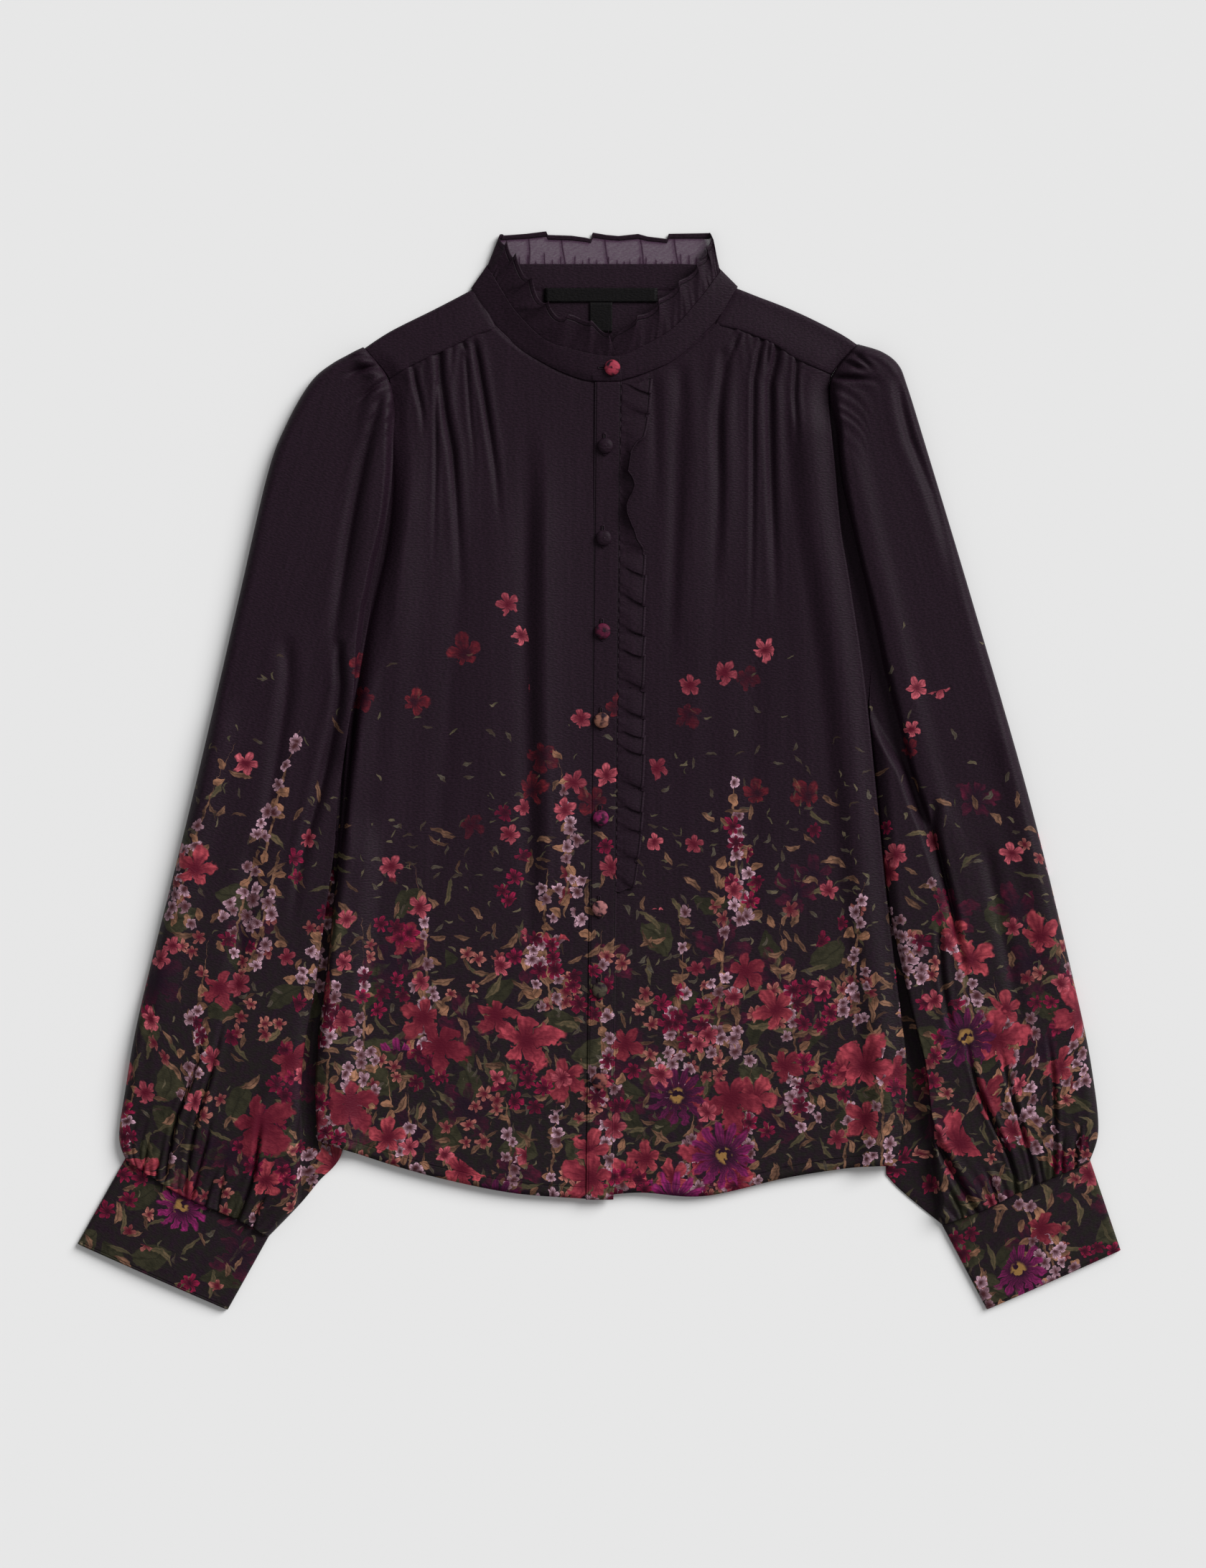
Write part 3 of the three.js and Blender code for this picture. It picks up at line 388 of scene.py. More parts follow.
def seam(points):
    """A smooth line through points, read by its share of the length."""
    p = np.array(points, float)
    p = np.vstack([p[:1], p, p[-1:]])
    t = np.linspace(0, 1, 24, endpoint=False)[:, None]
    fine = [curve(a, b, c, d, t) for a, b, c, d in zip(p, p[1:], p[2:], p[3:])]
    fine = np.vstack(fine + [p[-1:]])
    way = np.r_[0, np.cumsum(np.linalg.norm(np.diff(fine, axis=0), axis=1))]
    columns = range(fine.shape[1])
    return lambda share: np.stack(
        [np.interp(np.clip(share, 0, 1) * way[-1], way, fine[:, k]) for k in columns], axis=-1
    )


def straight(a, b):
    a, b = np.array(a, float), np.array(b, float)
    return lambda share: a + (b - a) * np.asarray(share, float)[..., None]


def patch(top, bottom, first, second):
    """A patch in plan between four lines: across the top and bottom, and down the two sides."""

    def spot(u, v):
        a, b = np.asarray(u, float)[..., None], np.asarray(v, float)[..., None]
        flat = top(u) * (1 - b) + bottom(u) * b + first(v) * (1 - a) + second(v) * a
        flat = flat - top(0.0) * (1 - a) * (1 - b) - top(1.0) * a * (1 - b)
        return flat - bottom(0.0) * (1 - a) * b - bottom(1.0) * a * b

    return spot


side_x = {-1: reading(SIDE_RIGHT, 1), 1: reading(SIDE_LEFT, 1)}
side_lap = {-1: reading(SIDE_RIGHT, 2), 1: reading(SIDE_LEFT, 2)}


def side_line(side, start, end):
    def at(share):
        y = start + (end - start) * np.asarray(share, float)
        return np.stack([side_x[side](y), y], axis=-1)

    return at


def inside_edge(x, y):
    return np.where(x < 0, x - side_x[-1](y), side_x[1](y) - x)


def lift(x, y):
    """How high the body rides where a sleeve lies under its edge."""
    down = np.where(x < 0, rise((-25 - y) / 45), rise((276 - y) / 34))
    return LIFT * down * (1 - rise((inside_edge(x, y) - 18) / 16))


def grid(u_count, v_count, ease=None):
    u, v = np.meshgrid(np.linspace(0, 1, u_count), np.linspace(0, 1, v_count))
    return u, (v if ease is None else ease * v + (1 - ease) * v * v)


def above(spot, x, y, z):
    return np.stack([spot[..., 0], spot[..., 1], z], axis=-1)


def cloth_piece(name, points, material, place=None, wall=0.5, closed=False, stitch=None):
    """A piece of cloth from rows of points on its upper side, with a wall below them. stitch is how
    far each point is past a line of stitches, towards the edge."""
    rows, columns = points.shape[:2]
    index = np.arange(rows * columns).reshape(rows, columns)
    if closed:
        index = np.hstack([index, index[:, :1]])
    quads = np.stack([index[:-1, :-1], index[1:, :-1], index[1:, 1:], index[:-1, 1:]], axis=-1)
    mesh = bpy.data.meshes.new(name)
    mesh.from_pydata((points.reshape(-1, 3) / 1000).tolist(), [], quads.reshape(-1, 4).tolist())
    if place is None:
        place = points[..., :2] - (0, FOOT_Y)
    place = np.dstack([place / 1000, np.zeros((rows, columns))]).astype(np.float32)
    mesh.attributes.new("cloth", "FLOAT_VECTOR", "POINT").data.foreach_set("vector", place.ravel())
    past = np.full((rows, columns), -50.0) if stitch is None else np.broadcast_to(stitch, (rows, columns))
    past = (past / 1000).astype(np.float32)
    mesh.attributes.new("stitch", "FLOAT", "POINT").data.foreach_set("value", past.ravel())
    mesh.shade_smooth()
    mesh.materials.append(material)
    piece = bpy.data.objects.new(name, mesh)
    bpy.context.collection.objects.link(piece)
    thick = piece.modifiers.new("wall", "SOLIDIFY")
    thick.thickness = wall / 1000
    thick.offset = -1
    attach(piece, "root")
    return piece


hem_right, hem_left = seam(HEM_RIGHT), seam(HEM_LEFT)


def back_hem(u):
    u = np.asarray(u, float)
    return np.where((u < 0.5)[..., None], hem_right(1 - 2 * u), hem_left(2 * u - 1)) + (0, 0.6)


def back_edge(share):
    """The right side of the back, which reaches under the sleeve where the two lie edge to edge."""
    at = side_line(-1, BACK_SEAM_Y, HEM_RIGHT[-1][1])(share)
    y = at[..., 1]
    under = UNDER_SLEEVE * rise((y + 95) / 40) * (1 - rise((y - 60) / 40))
    return at - np.stack([under, 0 * y], axis=-1)


back_spot = patch(
    straight((side_x[-1](BACK_SEAM_Y), BACK_SEAM_Y), (side_x[1](BACK_SEAM_Y), BACK_SEAM_Y)),
    back_hem,
    back_edge,
    side_line(1, BACK_SEAM_Y, HEM_LEFT[-1][1]),
)
u, v = grid(90, 90)
spot = back_spot(u, v)
back_z = lift(spot[..., 0], spot[..., 1]) + BACK_TOP
back = cloth_piece("back_panel", above(spot, u, v, back_z), printed_crepe)
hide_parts("back")

# Fronts: two panels of crepe, gathered into the yoke in front of each shoulder, so that creases run
# down from the seam and open out into soft rolls. Their curved hem is turned up and stitched.

NECK_RIGHT = ((-1.5, 281.2), (-14, 283), (-33, 290.7), (-58.5, 305), (-77, 321.5))
NECK_LEFT = ((-0.5, 281.2), (15.5, 281.6), (37, 288.3), (57.7, 298.6), (86, 324.4))
YOKE_RIGHT = ((-77, 321.5), (-104.5, 308), (-134.7, 294), (-153, 283.7))
YOKE_LEFT = ((86, 324.4), (122.7, 310.6), (143.4, 297.6), (168.9, 286.9))
SHOULDER = ((-187, 299), (-151, 318), (-92, 348), (100, 348.8), (139, 334), (190, 307))
CROWN = 3
NECK_SHARE = 0.42  # how much of a front's upper edge is the neck seam
FRONT_LOW = 1.5  # a front's underside at its edges, above the floor
# Each fold is a line in plan, its height, its width and the height of the roll beside it.
FRONT_FOLDS = (
    (((-116.6, 303.2), (-113, 266), (-107, 236), (-103.5, 195), (-99, 110)), -3.0, 2.6, 1.4),
    (((-90.3, 309), (-85.5, 283), (-80.8, 254), (-74.8, 212), (-71, 165)), -2.6, 2.2, 1.2),
    (((-135.7, 293), (-132, 276), (-128.5, 259), (-127, 235)), -1.9, 1.8, 0.9),
    (((-96.5, 300), (-93.3, 254), (-90.9, 230), (-90, 200)), -1.0, 1.4, 0.6),
    (((-98.6, 309), (-93.3, 299)), -1.2, 1.2, 0.5),
    (((-118.4, 280), (-118.4, 212), (-121, 130)), -1.0, 1.4, 0.7),
    (((-144, 262), (-150, 170), (-158, 60), (-168, -60)), -0.8, 6, 0.3),
    (((-74, 190), (-80, 60), (-86, -200)), 0.5, 9, 0),
    (((-100, 170), (-112, 0), (-130, -240)), -0.6, 7, 0.3),
    (((-136, 150), (-150, 0), (-166, -220)), 0.5, 9, 0),
    (((101.7, 316.5), (94.1, 299), (92, 290)), -1.6, 1.3, 0.7),
    (((117.8, 313), (114.7, 299), (111.2, 276), (111.6, 243), (110.9, 167), (109, 80)), -1.7, 1.6, 1.0),
    (((123.1, 310), (120, 283)), -1.4, 1.2, 0.6),
    (((129.2, 305), (123.9, 292), (123.9, 243), (126, 174), (129, 95)), -3.0, 2.8, 1.4),
    (((142.9, 297), (141.7, 273), (142.6, 252), (143, 225)), -1.9, 1.6, 0.9),
    (((91, 300), (86.5, 250), (87.7, 205), (86, 120)), -1.9, 3.4, 0.9),
    (((58.3, 289), (59.8, 250), (57.5, 167), (55, 60)), -1.4, 4.5, 0.7),
    (((39.2, 284), (40.7, 243), (41, 180)), -0.9, 3.5, 0.4),
    (((72, 270), (73, 160), (66, -60), (62, -220)), 0.5, 8, 0),
    (((112, 100), (110, -60), (108, -260)), -0.5, 8, 0.3),
    (((140, 200), (150, 20), (160, -220)), 0.5, 9, 0),
)
# Each ledge is a line in plan, where the cloth climbs to the viewer's right: its height, half the
# width of the climb, and how far it takes to come down again.
FRONT_LEDGES = (
    (((-47, 262), (-45, 217), (-46, 160), (-46, 60), (-44, -40), (-44, -150)), 4.6, 7, 17),
    (((88, 298), (88.5, 250), (88, 180), (86, 120)), 1.6, 4, 14),
    (((57, 289), (58, 250), (57, 167), (55, 60)), 1.6, 4, 16),
)
# y, how far inside its edge the right front starts to climb, over what width, and how high.
BESIDE_SLEEVE = (
    (-270, 0, 16, 3), (-225, 0, 12, 4.5), (-170, 0, 6, 7.5), (-130, 0, 5, 8.5), (-100, 0, 6, 8.5),
    (-60, 1.5, 7, 8.5), (-40, 3, 4.5, 8.5), (0, 3.5, 6, 8.5), (40, 4, 8, 8.5), (70, 4.5, 14, 9),
    (100, 4.5, 18, 10), (130, 7, 16, 10), (160, 10, 13, 9.5), (190, 10, 13, 8.5), (220, 8, 14, 6),
    (250, 4, 14, 4), (280, 0, 16, 3),
)
shoulder_y = reading(SHOULDER, 1)
climb_from, climb_over, climb_to = (reading(BESIDE_SLEEVE, k) for k in (1, 2, 3))


def folds(rows, x, y, fade=0.3):
    """Creases and rolls along lines. Each is fullest near its start and fades out at its end."""
    total = np.zeros(np.shape(x))
    for path, height, width, lip in rows:
        path = seam(path)(np.linspace(0, 1, 9))
        best = np.full(np.shape(x), 1e9)
        share, across = np.zeros(np.shape(x)), np.zeros(np.shape(x))
        for i, (a, b) in enumerate(zip(path, path[1:])):
            d = b - a
            t = np.clip(((x - a[0]) * d[0] + (y - a[1]) * d[1]) / (d @ d), 0, 1)
            off_x, off_y = x - a[0] - t * d[0], y - a[1] - t * d[1]
            gap = np.hypot(off_x, off_y)
            closer = gap < best
            best = np.where(closer, gap, best)
            share = np.where(closer, (i + t) / 8, share)
            across = np.where(closer, np.sign(d[0] * off_y - d[1] * off_x) * gap, across)
        strength = rise((share + 0.06) / 0.12) * (1 - rise((share - fade) / (1 - fade)))
        total += height * strength * np.exp(-((across / width) ** 2))
        total += 0.55 * lip * strength * np.exp(-(((np.abs(across) - 2.1 * width) / (1.2 * width)) ** 2))
    return total


def unrolled(points, place, still, jump=None):
    """Places on the cloth whose way across follows the surface, so that the print doesn't stretch on
    steep sides. The column still stays where it is, and round a tube the print starts anew at jump."""
    step = np.linalg.norm(np.diff(points, axis=1, append=points[:, :1]), axis=-1)
    climb = np.diff(place[..., 1], axis=1, append=place[:, :1, 1])
    run = np.sqrt(np.maximum(step**2 - climb**2, 0))
    across = np.cumsum(run, axis=1) - run
    if jump:
        across[:, jump:] -= run.sum(axis=1, keepdims=True)
    way = np.sign(place[:, still + 1, 0] - place[:, still, 0])[:, None]
    across = (across - across[:, still : still + 1]) * way + place[:, still : still + 1, 0]
    return np.dstack([across, place[..., 1]])


def ledges(rows, x, y):
    total = np.zeros(np.shape(x))
    for path, height, half, run in rows:
        path = np.array(path, float)[::-1]
        across = x - np.interp(y, path[:, 1], path[:, 0])
        down = (path[-1, 1] - y) / (path[-1, 1] - path[0, 1])
        strength = rise(down / 0.25) * (1 - rise((down - 0.72) / 0.28))
        climb = rise((across / half + 1) / 2) * np.exp(-np.maximum(across - half, 0) / run)
        dip = 0.45 * np.exp(-(((across + half) / (1.1 * half)) ** 2))
        total += height * strength * (climb - dip)
    return total


def ripples(along, pitch, seed):
    """Uneven gathers along a seam, from -1 to 1, about a pitch apart."""
    dice = np.random.default_rng(seed)
    knots = np.cumsum(pitch * dice.uniform(0.6, 1.4, 200)) - 40 * pitch
    heights = dice.uniform(0.4, 1.0, 200) * np.where(np.arange(200) % 2, 1, -1)
    return np.interp(along, knots, heights)


def seam_depth(x):
    """Where the yoke seam or the neck seam is, over a front."""
    right = np.vstack([seam(NECK_RIGHT)(np.linspace(0, 1, 40)), seam(YOKE_RIGHT)(np.linspace(0, 1, 40))])
    left = np.vstack([seam(NECK_LEFT)(np.linspace(0, 1, 40)), seam(YOKE_LEFT)(np.linspace(0, 1, 40))])
    return np.where(
        x < -1,
        np.interp(x, right[::-1, 0], right[::-1, 1]),
        np.interp(x, left[:, 0], left[:, 1]),
    )


def gathers(x, y):
    """Fine gathers under the yoke seam, which run out within a few centimetres."""
    below = seam_depth(x) - y
    where = rise((x - 90) / 10) * (1 - rise((x - 143) / 10))
    where = where + rise((-83 - x) / 8) * (1 - rise((-138 - x) / 9))
    lean = x + np.where(x < 0, 0.12, -0.1) * below
    fine = ripples(lean, 3.6, 5) * np.exp(-below / 13) * 0.8
    broad = ripples(lean, 8.5, 6) * np.exp(-below / 45) * 0.7
    return where * (fine + broad) * rise((below + 2) / 4)


def front_under(x, y):
    into = inside_edge(x, y)
    share = np.clip((into - climb_from(y)) / climb_over(y), 0, 1)
    steep = share * (2 - share) + (rise(share) - share * (2 - share)) * rise((y - 232) / 30)
    past = np.maximum(into - climb_from(y) - climb_over(y), 0)
    beside = steep * (CROWN + (climb_to(y) - CROWN) * np.exp(-past / 30))
    crown = np.where(x < 0, beside, CROWN * rise(into / 16)) * rise((shoulder_y(x) - y) / 34)
    floor = lift(x, y) + FRONT_LOW
    shape = 1.25 * folds(FRONT_FOLDS, x, y) + ledges(FRONT_LEDGES, x, y) + gathers(x, y)
    return np.maximum(floor + crown + shape * rise((into - np.where(x < 0, climb_from(y), 0)) / 10), floor)


def front_top(x, y):
    return front_under(x, y) + 1


for side, name, neck, yoke, hem in (
    (-1, "front_right", NECK_RIGHT, YOKE_RIGHT, hem_right),
    (1, "front_left", NECK_LEFT, YOKE_LEFT, hem_left),
):
    neck_line, yoke_line = seam(neck), seam(yoke)

    def upper(u):
        u = np.asarray(u, float)
        under_yoke = yoke_line((u - NECK_SHARE) / (1 - NECK_SHARE))
        under_stand = neck_line(u / NECK_SHARE) + (0, 1.6)
        return np.where((u < NECK_SHARE)[..., None], under_stand, under_yoke) + (0, 0.6)

    start = upper(0.0)
    front_spot = patch(
        upper, hem, straight(start, hem(0.0)), side_line(side, float(upper(1.0)[1]), float(hem(1.0)[1]))
    )
    u, v = grid(115, 215, 0.45)
    spot = front_spot(u, v)
    x, y = spot[..., 0], spot[..., 1]
    hem_gap = np.linalg.norm(spot - spot[-1:], axis=-1)
    z = front_top(x, y) - 0.3 * np.exp(-(((hem_gap - 8) / 1.6) ** 2))
    z -= 0.7 * rise((y - seam_depth(x) + 1.0) / 1.2)
    points = above(spot, u, v, z)
    place = unrolled(points, spot - (0, FOOT_Y), 0)
    front = cloth_piece(name + "_panel", points, printed_crepe, place=place, stitch=8 - hem_gap)
    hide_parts(name)

# Yoke: one piece of crepe over both shoulders, seamed to the back below the collar and over the
# gathered edge of each front. It folds over at the shoulders, so the seams lie in front.

SHOULDER_RIGHT = ((-92, 348), (-119, 334), (-151, 318), (-170.6, 305.2))
SHOULDER_LEFT = ((99.9, 348.8), (139, 334), (172, 318), (187.2, 308.4))
yoke_ridge = {-1: seam(SHOULDER_RIGHT), 1: seam(SHOULDER_LEFT)}
yoke_seam = {-1: seam(YOKE_RIGHT), 1: seam(YOKE_LEFT)}


def yoke_wing(side):
    """The wing over one shoulder: the front layer, the fold and the layer behind it."""
    ridge, low = yoke_ridge[side], yoke_seam[side]
    tuck = np.array([-2.4 * side, -1.0])
    wing = patch(
        lambda u: ridge(u) + (tuck[0], 1.4) * (1 - rise(np.asarray(u, float)[..., None] / 0.2)),
        lambda u: low(u) + (0, -0.5) + tuck * (1 - rise(np.asarray(u, float)[..., None] / 0.2)),
        straight(ridge(0.0) + (tuck[0], 1.4), low(0.0) + (0, -0.5) + tuck),
        side_line(side, float(ridge(1.0)[1]), float(low(1.0)[1]) - 0.5),
    )
    u, v = grid(60, 22)
    spot = wing(u, v)
    x, y = spot[..., 0], spot[..., 1]
    plain = front_plain(x, y) + 1
    fold = np.sqrt(np.clip(1 - (1 - np.clip(v * 9, 0, 1)) ** 2, 0, 1))
    z = 1.25 + (plain + 0.55 - 1.25) * fold - 0.9 * (1 - rise(u / 0.05)) - 0.4 * rise((v - 0.92) / 0.08)
    return above(spot, x, y, z)


def front_plain(x, y):
    """A front's underside with no folds in it, which the yoke is flat over."""
    crown = CROWN * rise(inside_edge(x, y) / 16) * rise((shoulder_y(x) - y) / 34)
    return lift(x, y) + FRONT_LOW + crown


under_u, under_v = grid(120, 20)
yoke_ends = [side_line(side, float(yoke_ridge[side](1.0)[1]), BACK_SEAM_Y - 1.0) for side in (-1, 1)]


def yoke_top(u):
    u = np.asarray(u, float)
    middle = straight((-92, 348), (99.9, 348))((u - 0.24) / 0.505)
    right = yoke_ridge[-1](1 - u / 0.24)
    left = yoke_ridge[1]((u - 0.745) / 0.255)
    return np.where((u < 0.24)[..., None], right, np.where((u > 0.745)[..., None], left, middle))


yoke_back = patch(
    yoke_top,
    straight(yoke_ends[0](1.0), yoke_ends[1](1.0)),
    yoke_ends[0],
    yoke_ends[1],
)
spot = yoke_back(under_u, under_v)
x, y = spot[..., 0], spot[..., 1]
yoke = cloth_piece("yoke_back", above(spot, x, y, lift(x, y) + 0.9), printed_crepe)
wings = [
    cloth_piece(f"yoke_{word}", yoke_wing(side), printed_crepe) for side, word in ((-1, "right"), (1, "left"))
]
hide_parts("yoke")
for piece in wings:
    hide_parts("yoke")

# Stand collar: a band on the neck seam, from its end at the button band round the back of the neck
# to the end under it. It lies flat behind and folds over at both sides of the neck.

COLLAR = (  # low edge, upper edge and the frill's free edge, from section to section
    ((16.2, 281.9, 6.9), (14.5, 299.5, 8.8), (11, 316, 12)),
    ((6, 281.7, 6.9), (4.5, 299.6, 8.9), (3, 317.5, 13)),
    ((-3, 281.8, 6.9), (-6, 301.2, 9), (-6, 323.5, 13.5)),
    ((-14, 283.6, 6.8), (-19, 304.4, 9), (-16, 327.5, 13)),
    ((-33, 291.3, 6), (-39.4, 311.4, 8.8), (-29, 329, 13)),
    ((-58.3, 305.7, 4.8), (-59.3, 330.5, 8), (-41, 340.5, 12.4)),
    ((-76, 322, 3.4), (-71, 348, 6.4), (-56, 364, 9.6)),
    ((-88.2, 341.6, 2.8), (-77.6, 359.2, 4.8), (-68, 381.5, 5.8)),
    ((-92.4, 348.8, 1.7), (-81.2, 364.6, 2.6), (-72, 387.6, 3)),
    ((-88, 347.8, 0.9), (-76.5, 367, 0.9), (-67, 388.6, 0.9)),
    ((-60, 347.4, 0.9), (-56, 367, 0.9), (-48, 388.6, 0.9)),
    ((-30, 347.4, 0.9), (-29, 367, 0.9), (-25, 386, 0.9)),
    ((3, 347.4, 0.9), (3, 367, 0.9), (3, 387, 0.9)),
    ((36, 347.4, 0.9), (35, 367, 0.9), (33, 386, 0.9)),
    ((68, 347.6, 0.9), (62, 367, 0.9), (58, 388.4, 0.9)),
    ((96, 348.6, 0.9), (82.5, 365, 0.9), (76, 389.4, 0.9)),
    ((99.6, 349.8, 1.7), (87, 361.6, 2.6), (81, 389.4, 3)),
    ((95, 342.2, 2.8), (82.4, 354.4, 4.8), (76.5, 374, 5.8)),
    ((84.4, 325.4, 3.4), (74, 343, 6.4), (67, 361, 9.6)),
    ((57.2, 299.5, 4.8), (54, 320.6, 7.2), (49, 344, 11.8)),
    ((36.6, 289.2, 5.4), (33, 307.6, 7.2), (32, 329, 12)),
    ((15.5, 282.6, 5.3), (14, 299.4, 7.1), (20, 322, 10.6)),
    ((-1, 282.4, 5.2), (-2, 298.6, 7), (13.5, 316.5, 10)),
)
plain_crepe = crepe("plain_crepe", printed=False)


def collar_line(edge):
    """A smooth line through one edge of the sections, read by section."""
    p = np.array([row[edge] for row in COLLAR], float)
    p = np.vstack([2 * p[:1] - p[1:2], p, 2 * p[-1:] - p[-2:-1]])

    def at(share):
        step = np.clip(share, 0, 1) * (len(COLLAR) - 1)
        i = np.clip(step.astype(int), 0, len(COLLAR) - 2)
        t = (step - i)[..., None]
        return curve(p[i], p[i + 1], p[i + 2], p[i + 3], t)

    return at


collar_low, collar_top, collar_free = (collar_line(edge) for edge in range(3))
u, v = np.meshgrid(np.linspace(0, 1, 520), np.r_[0, 0.02, np.linspace(0.1, 0.9, 9), 0.98, 1])
low, top = collar_low(u), collar_top(u)
points = low + (top - low) * v[..., None]
x, y = low[..., 0], low[..., 1]
on_band = rise((x + 5.5) / 2) * (1 - rise((x - 16) / 2))
seat = front_plain(x, y) + 1.5 + 1.5 * on_band
points[..., 2] += 0.35 + (np.minimum(seat, low[..., 2]) - low[..., 2]) * (1 - rise(v / 0.3))
points[..., 2] -= 0.12 * rise((v - 0.9) / 0.1) + 0.5 * (1 - rise(v / 0.06))
stand = cloth_piece("stand_collar", points[::-1], plain_crepe, wall=0.7)
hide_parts("collar_stand")

# Collar frill: a strip of the same crepe in one layer, so the light comes through it behind the
# neck, with a rolled edge. It is gathered on to the stand and stands up in uneven pleats.

BACK_RIM = (  # x, y of the frill's edge behind the neck, which steps where a pleat laps over
    (-72, 387.6), (-53, 389), (-38.6, 390.8), (-37.4, 388.2), (-20, 387.6), (-10, 386.2), (-6.2, 385.2),
    (-5, 389.9), (5, 388.2), (14, 387.4), (28, 388.9), (35, 387), (49, 385.3), (50.2, 389), (80, 389.5),
)
LEFT_CORNER = ((70, 390), (80, 389.3), (83.5, 381.7), (87, 366), (95, 340))
BACK_TUCKS = (-52.6, -25.7, 6.0, 29.7, 56.0)
PLEAT_PITCH = 19
ROLLED = 0.35  # how far a rolled edge stands up
sheer_crepe = crepe("sheer_crepe", printed=False, sheer=True)


def pleats(along, pitch, seed):
    """Uneven pleats along an edge: how far round its wave each place is, and the wave's size."""
    dice = np.random.default_rng(seed)
    steps = np.cumsum(pitch * dice.uniform(0.55, 1.45, 160)) - 4 * pitch
    size = np.interp(along, steps, dice.uniform(0.35, 1.0, 160))
    return np.interp(along, steps, 2 * np.pi * np.arange(160)), size


u, v = grid(1150, 20)
s = 0.012 + u * 0.976
low, free = collar_top(s), collar_free(s)
behind = rise((s - 0.37) / 0.03) * (1 - rise((s - 0.68) / 0.03))
run = free[0, 1:, :2] - free[0, :-1, :2]
count = np.r_[0, np.cumsum(np.minimum(np.linalg.norm(run, axis=-1), 1.5) / PLEAT_PITCH)]
phase, size = pleats(np.broadcast_to(count, u.shape), 1.0, 17)
along = np.gradient(collar_free(s), axis=1)
along /= np.linalg.norm(along, axis=-1, keepdims=True)
outward = (free - low) / np.linalg.norm(free - low, axis=-1, keepdims=True)
spread = rise(v * 1.1) * size * (1 - behind)
points = low + (free - low) * (1.04 * v - 0.04)[..., None]
points += along * (np.cos(phase) * spread * 4.2)[..., None]
points += outward * (np.sin(phase + 0.8) * spread * 2.4)[..., None]
rim = np.interp(points[..., 0], *np.transpose(BACK_RIM))
points[..., 1] += (low[..., 1] + (rim - low[..., 1]) * (1.04 * v - 0.04) - points[..., 1]) * behind
small = ripples(np.broadcast_to(count, u.shape) * PLEAT_PITCH + 5 * v, 3.2, 12)
points[..., 2] += (1 - np.cos(phase + 1.6 * v)) * spread * 1.8 + ROLLED * rise((v - 0.9) / 0.05)
gather = 0.6 * small * np.exp(-v * 2.2) * (1 - behind) * rise(v / 0.05)
points[..., 2] += gather - 0.25 * rise(1 - v / 0.1)
corner = np.interp(points[..., 0], *np.transpose(LEFT_CORNER))
at_corner = points[..., 0] > LEFT_CORNER[0][0]
points[..., 1] = np.where(at_corner, np.minimum(points[..., 1], corner), points[..., 1])
frill = cloth_piece(
    "collar_frill_piece", points[::-1], sheer_crepe, wall=0.3, stitch=(21.5 * v - 18.3)[::-1],
)
dice = np.random.default_rng(9)
tuck = np.zeros(u.shape)
for x in BACK_TUCKS:
    tuck = np.maximum(tuck, np.exp(-(((points[..., 0] - x + 2 * np.sin(2 * v + x)) / 0.5) ** 2)))
for x in np.arange(-70, 78, 5.8) + dice.uniform(-1.6, 1.6, 26):
    tick = np.exp(-(((points[..., 0] - x - dice.uniform(-1.5, 1.5) * v) / 0.42) ** 2))
    tuck = np.maximum(tuck, tick * (1 - rise((v - dice.uniform(0.08, 0.34)) / 0.08)))
sheer = (behind * rise((v - 0.02) / 0.04) * (1 - 0.9 * tuck))[::-1].astype(np.float32)
frill.data.attributes.new("sheer", "FLOAT", "POINT").data.foreach_set("value", sheer.ravel())
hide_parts("collar_frill")

# Button band: a straight strip over the edges of both fronts, stitched down close to both edges.

BAND_TOP, BAND_FOOT, BAND_WIDTH = (6.4, 281.2), (0.2, -311), 20
BAND_STITCH = 8.6  # from the middle of the band to each line of stitches
BAND_HIGH = 2.5  # from the underside of a front to the top of the band
u, v = grid(22, 300)
spot = straight(BAND_TOP, BAND_FOOT)(v) + np.stack([(u - 0.5) * BAND_WIDTH, 0 * u], axis=-1)
x, y = spot[..., 0], spot[..., 1]
band_top_z = front_plain(x, y) + BAND_HIGH - 0.5 * rise((np.abs(u - 0.5) - 0.42) / 0.08)
band = cloth_piece(
    "button_band_piece", above(spot, x, y, band_top_z), printed_crepe,
    stitch=np.abs(u - 0.5) * BAND_WIDTH - BAND_STITCH,
)
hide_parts("button_band")

# Placket frill: a gathered strip let in along the band's edge, with a free edge that waves, from
# the neck seam to below the waist.

FRILL_TOP_Y, FRILL_FOOT_Y = 281, -88
CURL_Y, CURL_HALF = 202, 36  # where the frill stands up and folds back
FRILL_EDGE = (  # y, x of its free edge, which folds back on itself below the first button
    (-88, 24.5), (-66, 28.5), (-42, 31.2), (0, 32.5), (112, 32.8), (157, 33.5), (163, 31.8), (168, 27.5),
    (176, 24), (187, 20), (192, 19.8), (199, 23), (206, 26), (212, 23.6), (217, 20.8), (228, 23), (239, 28),
    (243, 33), (249, 35), (260, 36.9), (288, 38.6),
)
u, v = grid(17, 760)
length = FRILL_TOP_Y - FRILL_FOOT_Y
y = FRILL_TOP_Y - length * v
share = (BAND_TOP[1] - y) / (BAND_TOP[1] - BAND_FOOT[1])
edge = BAND_TOP[0] + (BAND_FOOT[0] - BAND_TOP[0]) * share + BAND_WIDTH / 2 - 0.8
slant = (4 * ripples(y, 34, 23) - 6) * u
phase, size = pleats(v * length + slant, 18, 21)
step_back = (phase / (2 * np.pi)) % 1
curl = np.exp(-(((y - CURL_Y) / CURL_HALF) ** 4))
small = ripples(v * length + slant, 3.4, 22)
x = edge + u * (np.interp(y, *np.transpose(FRILL_EDGE)) - edge)
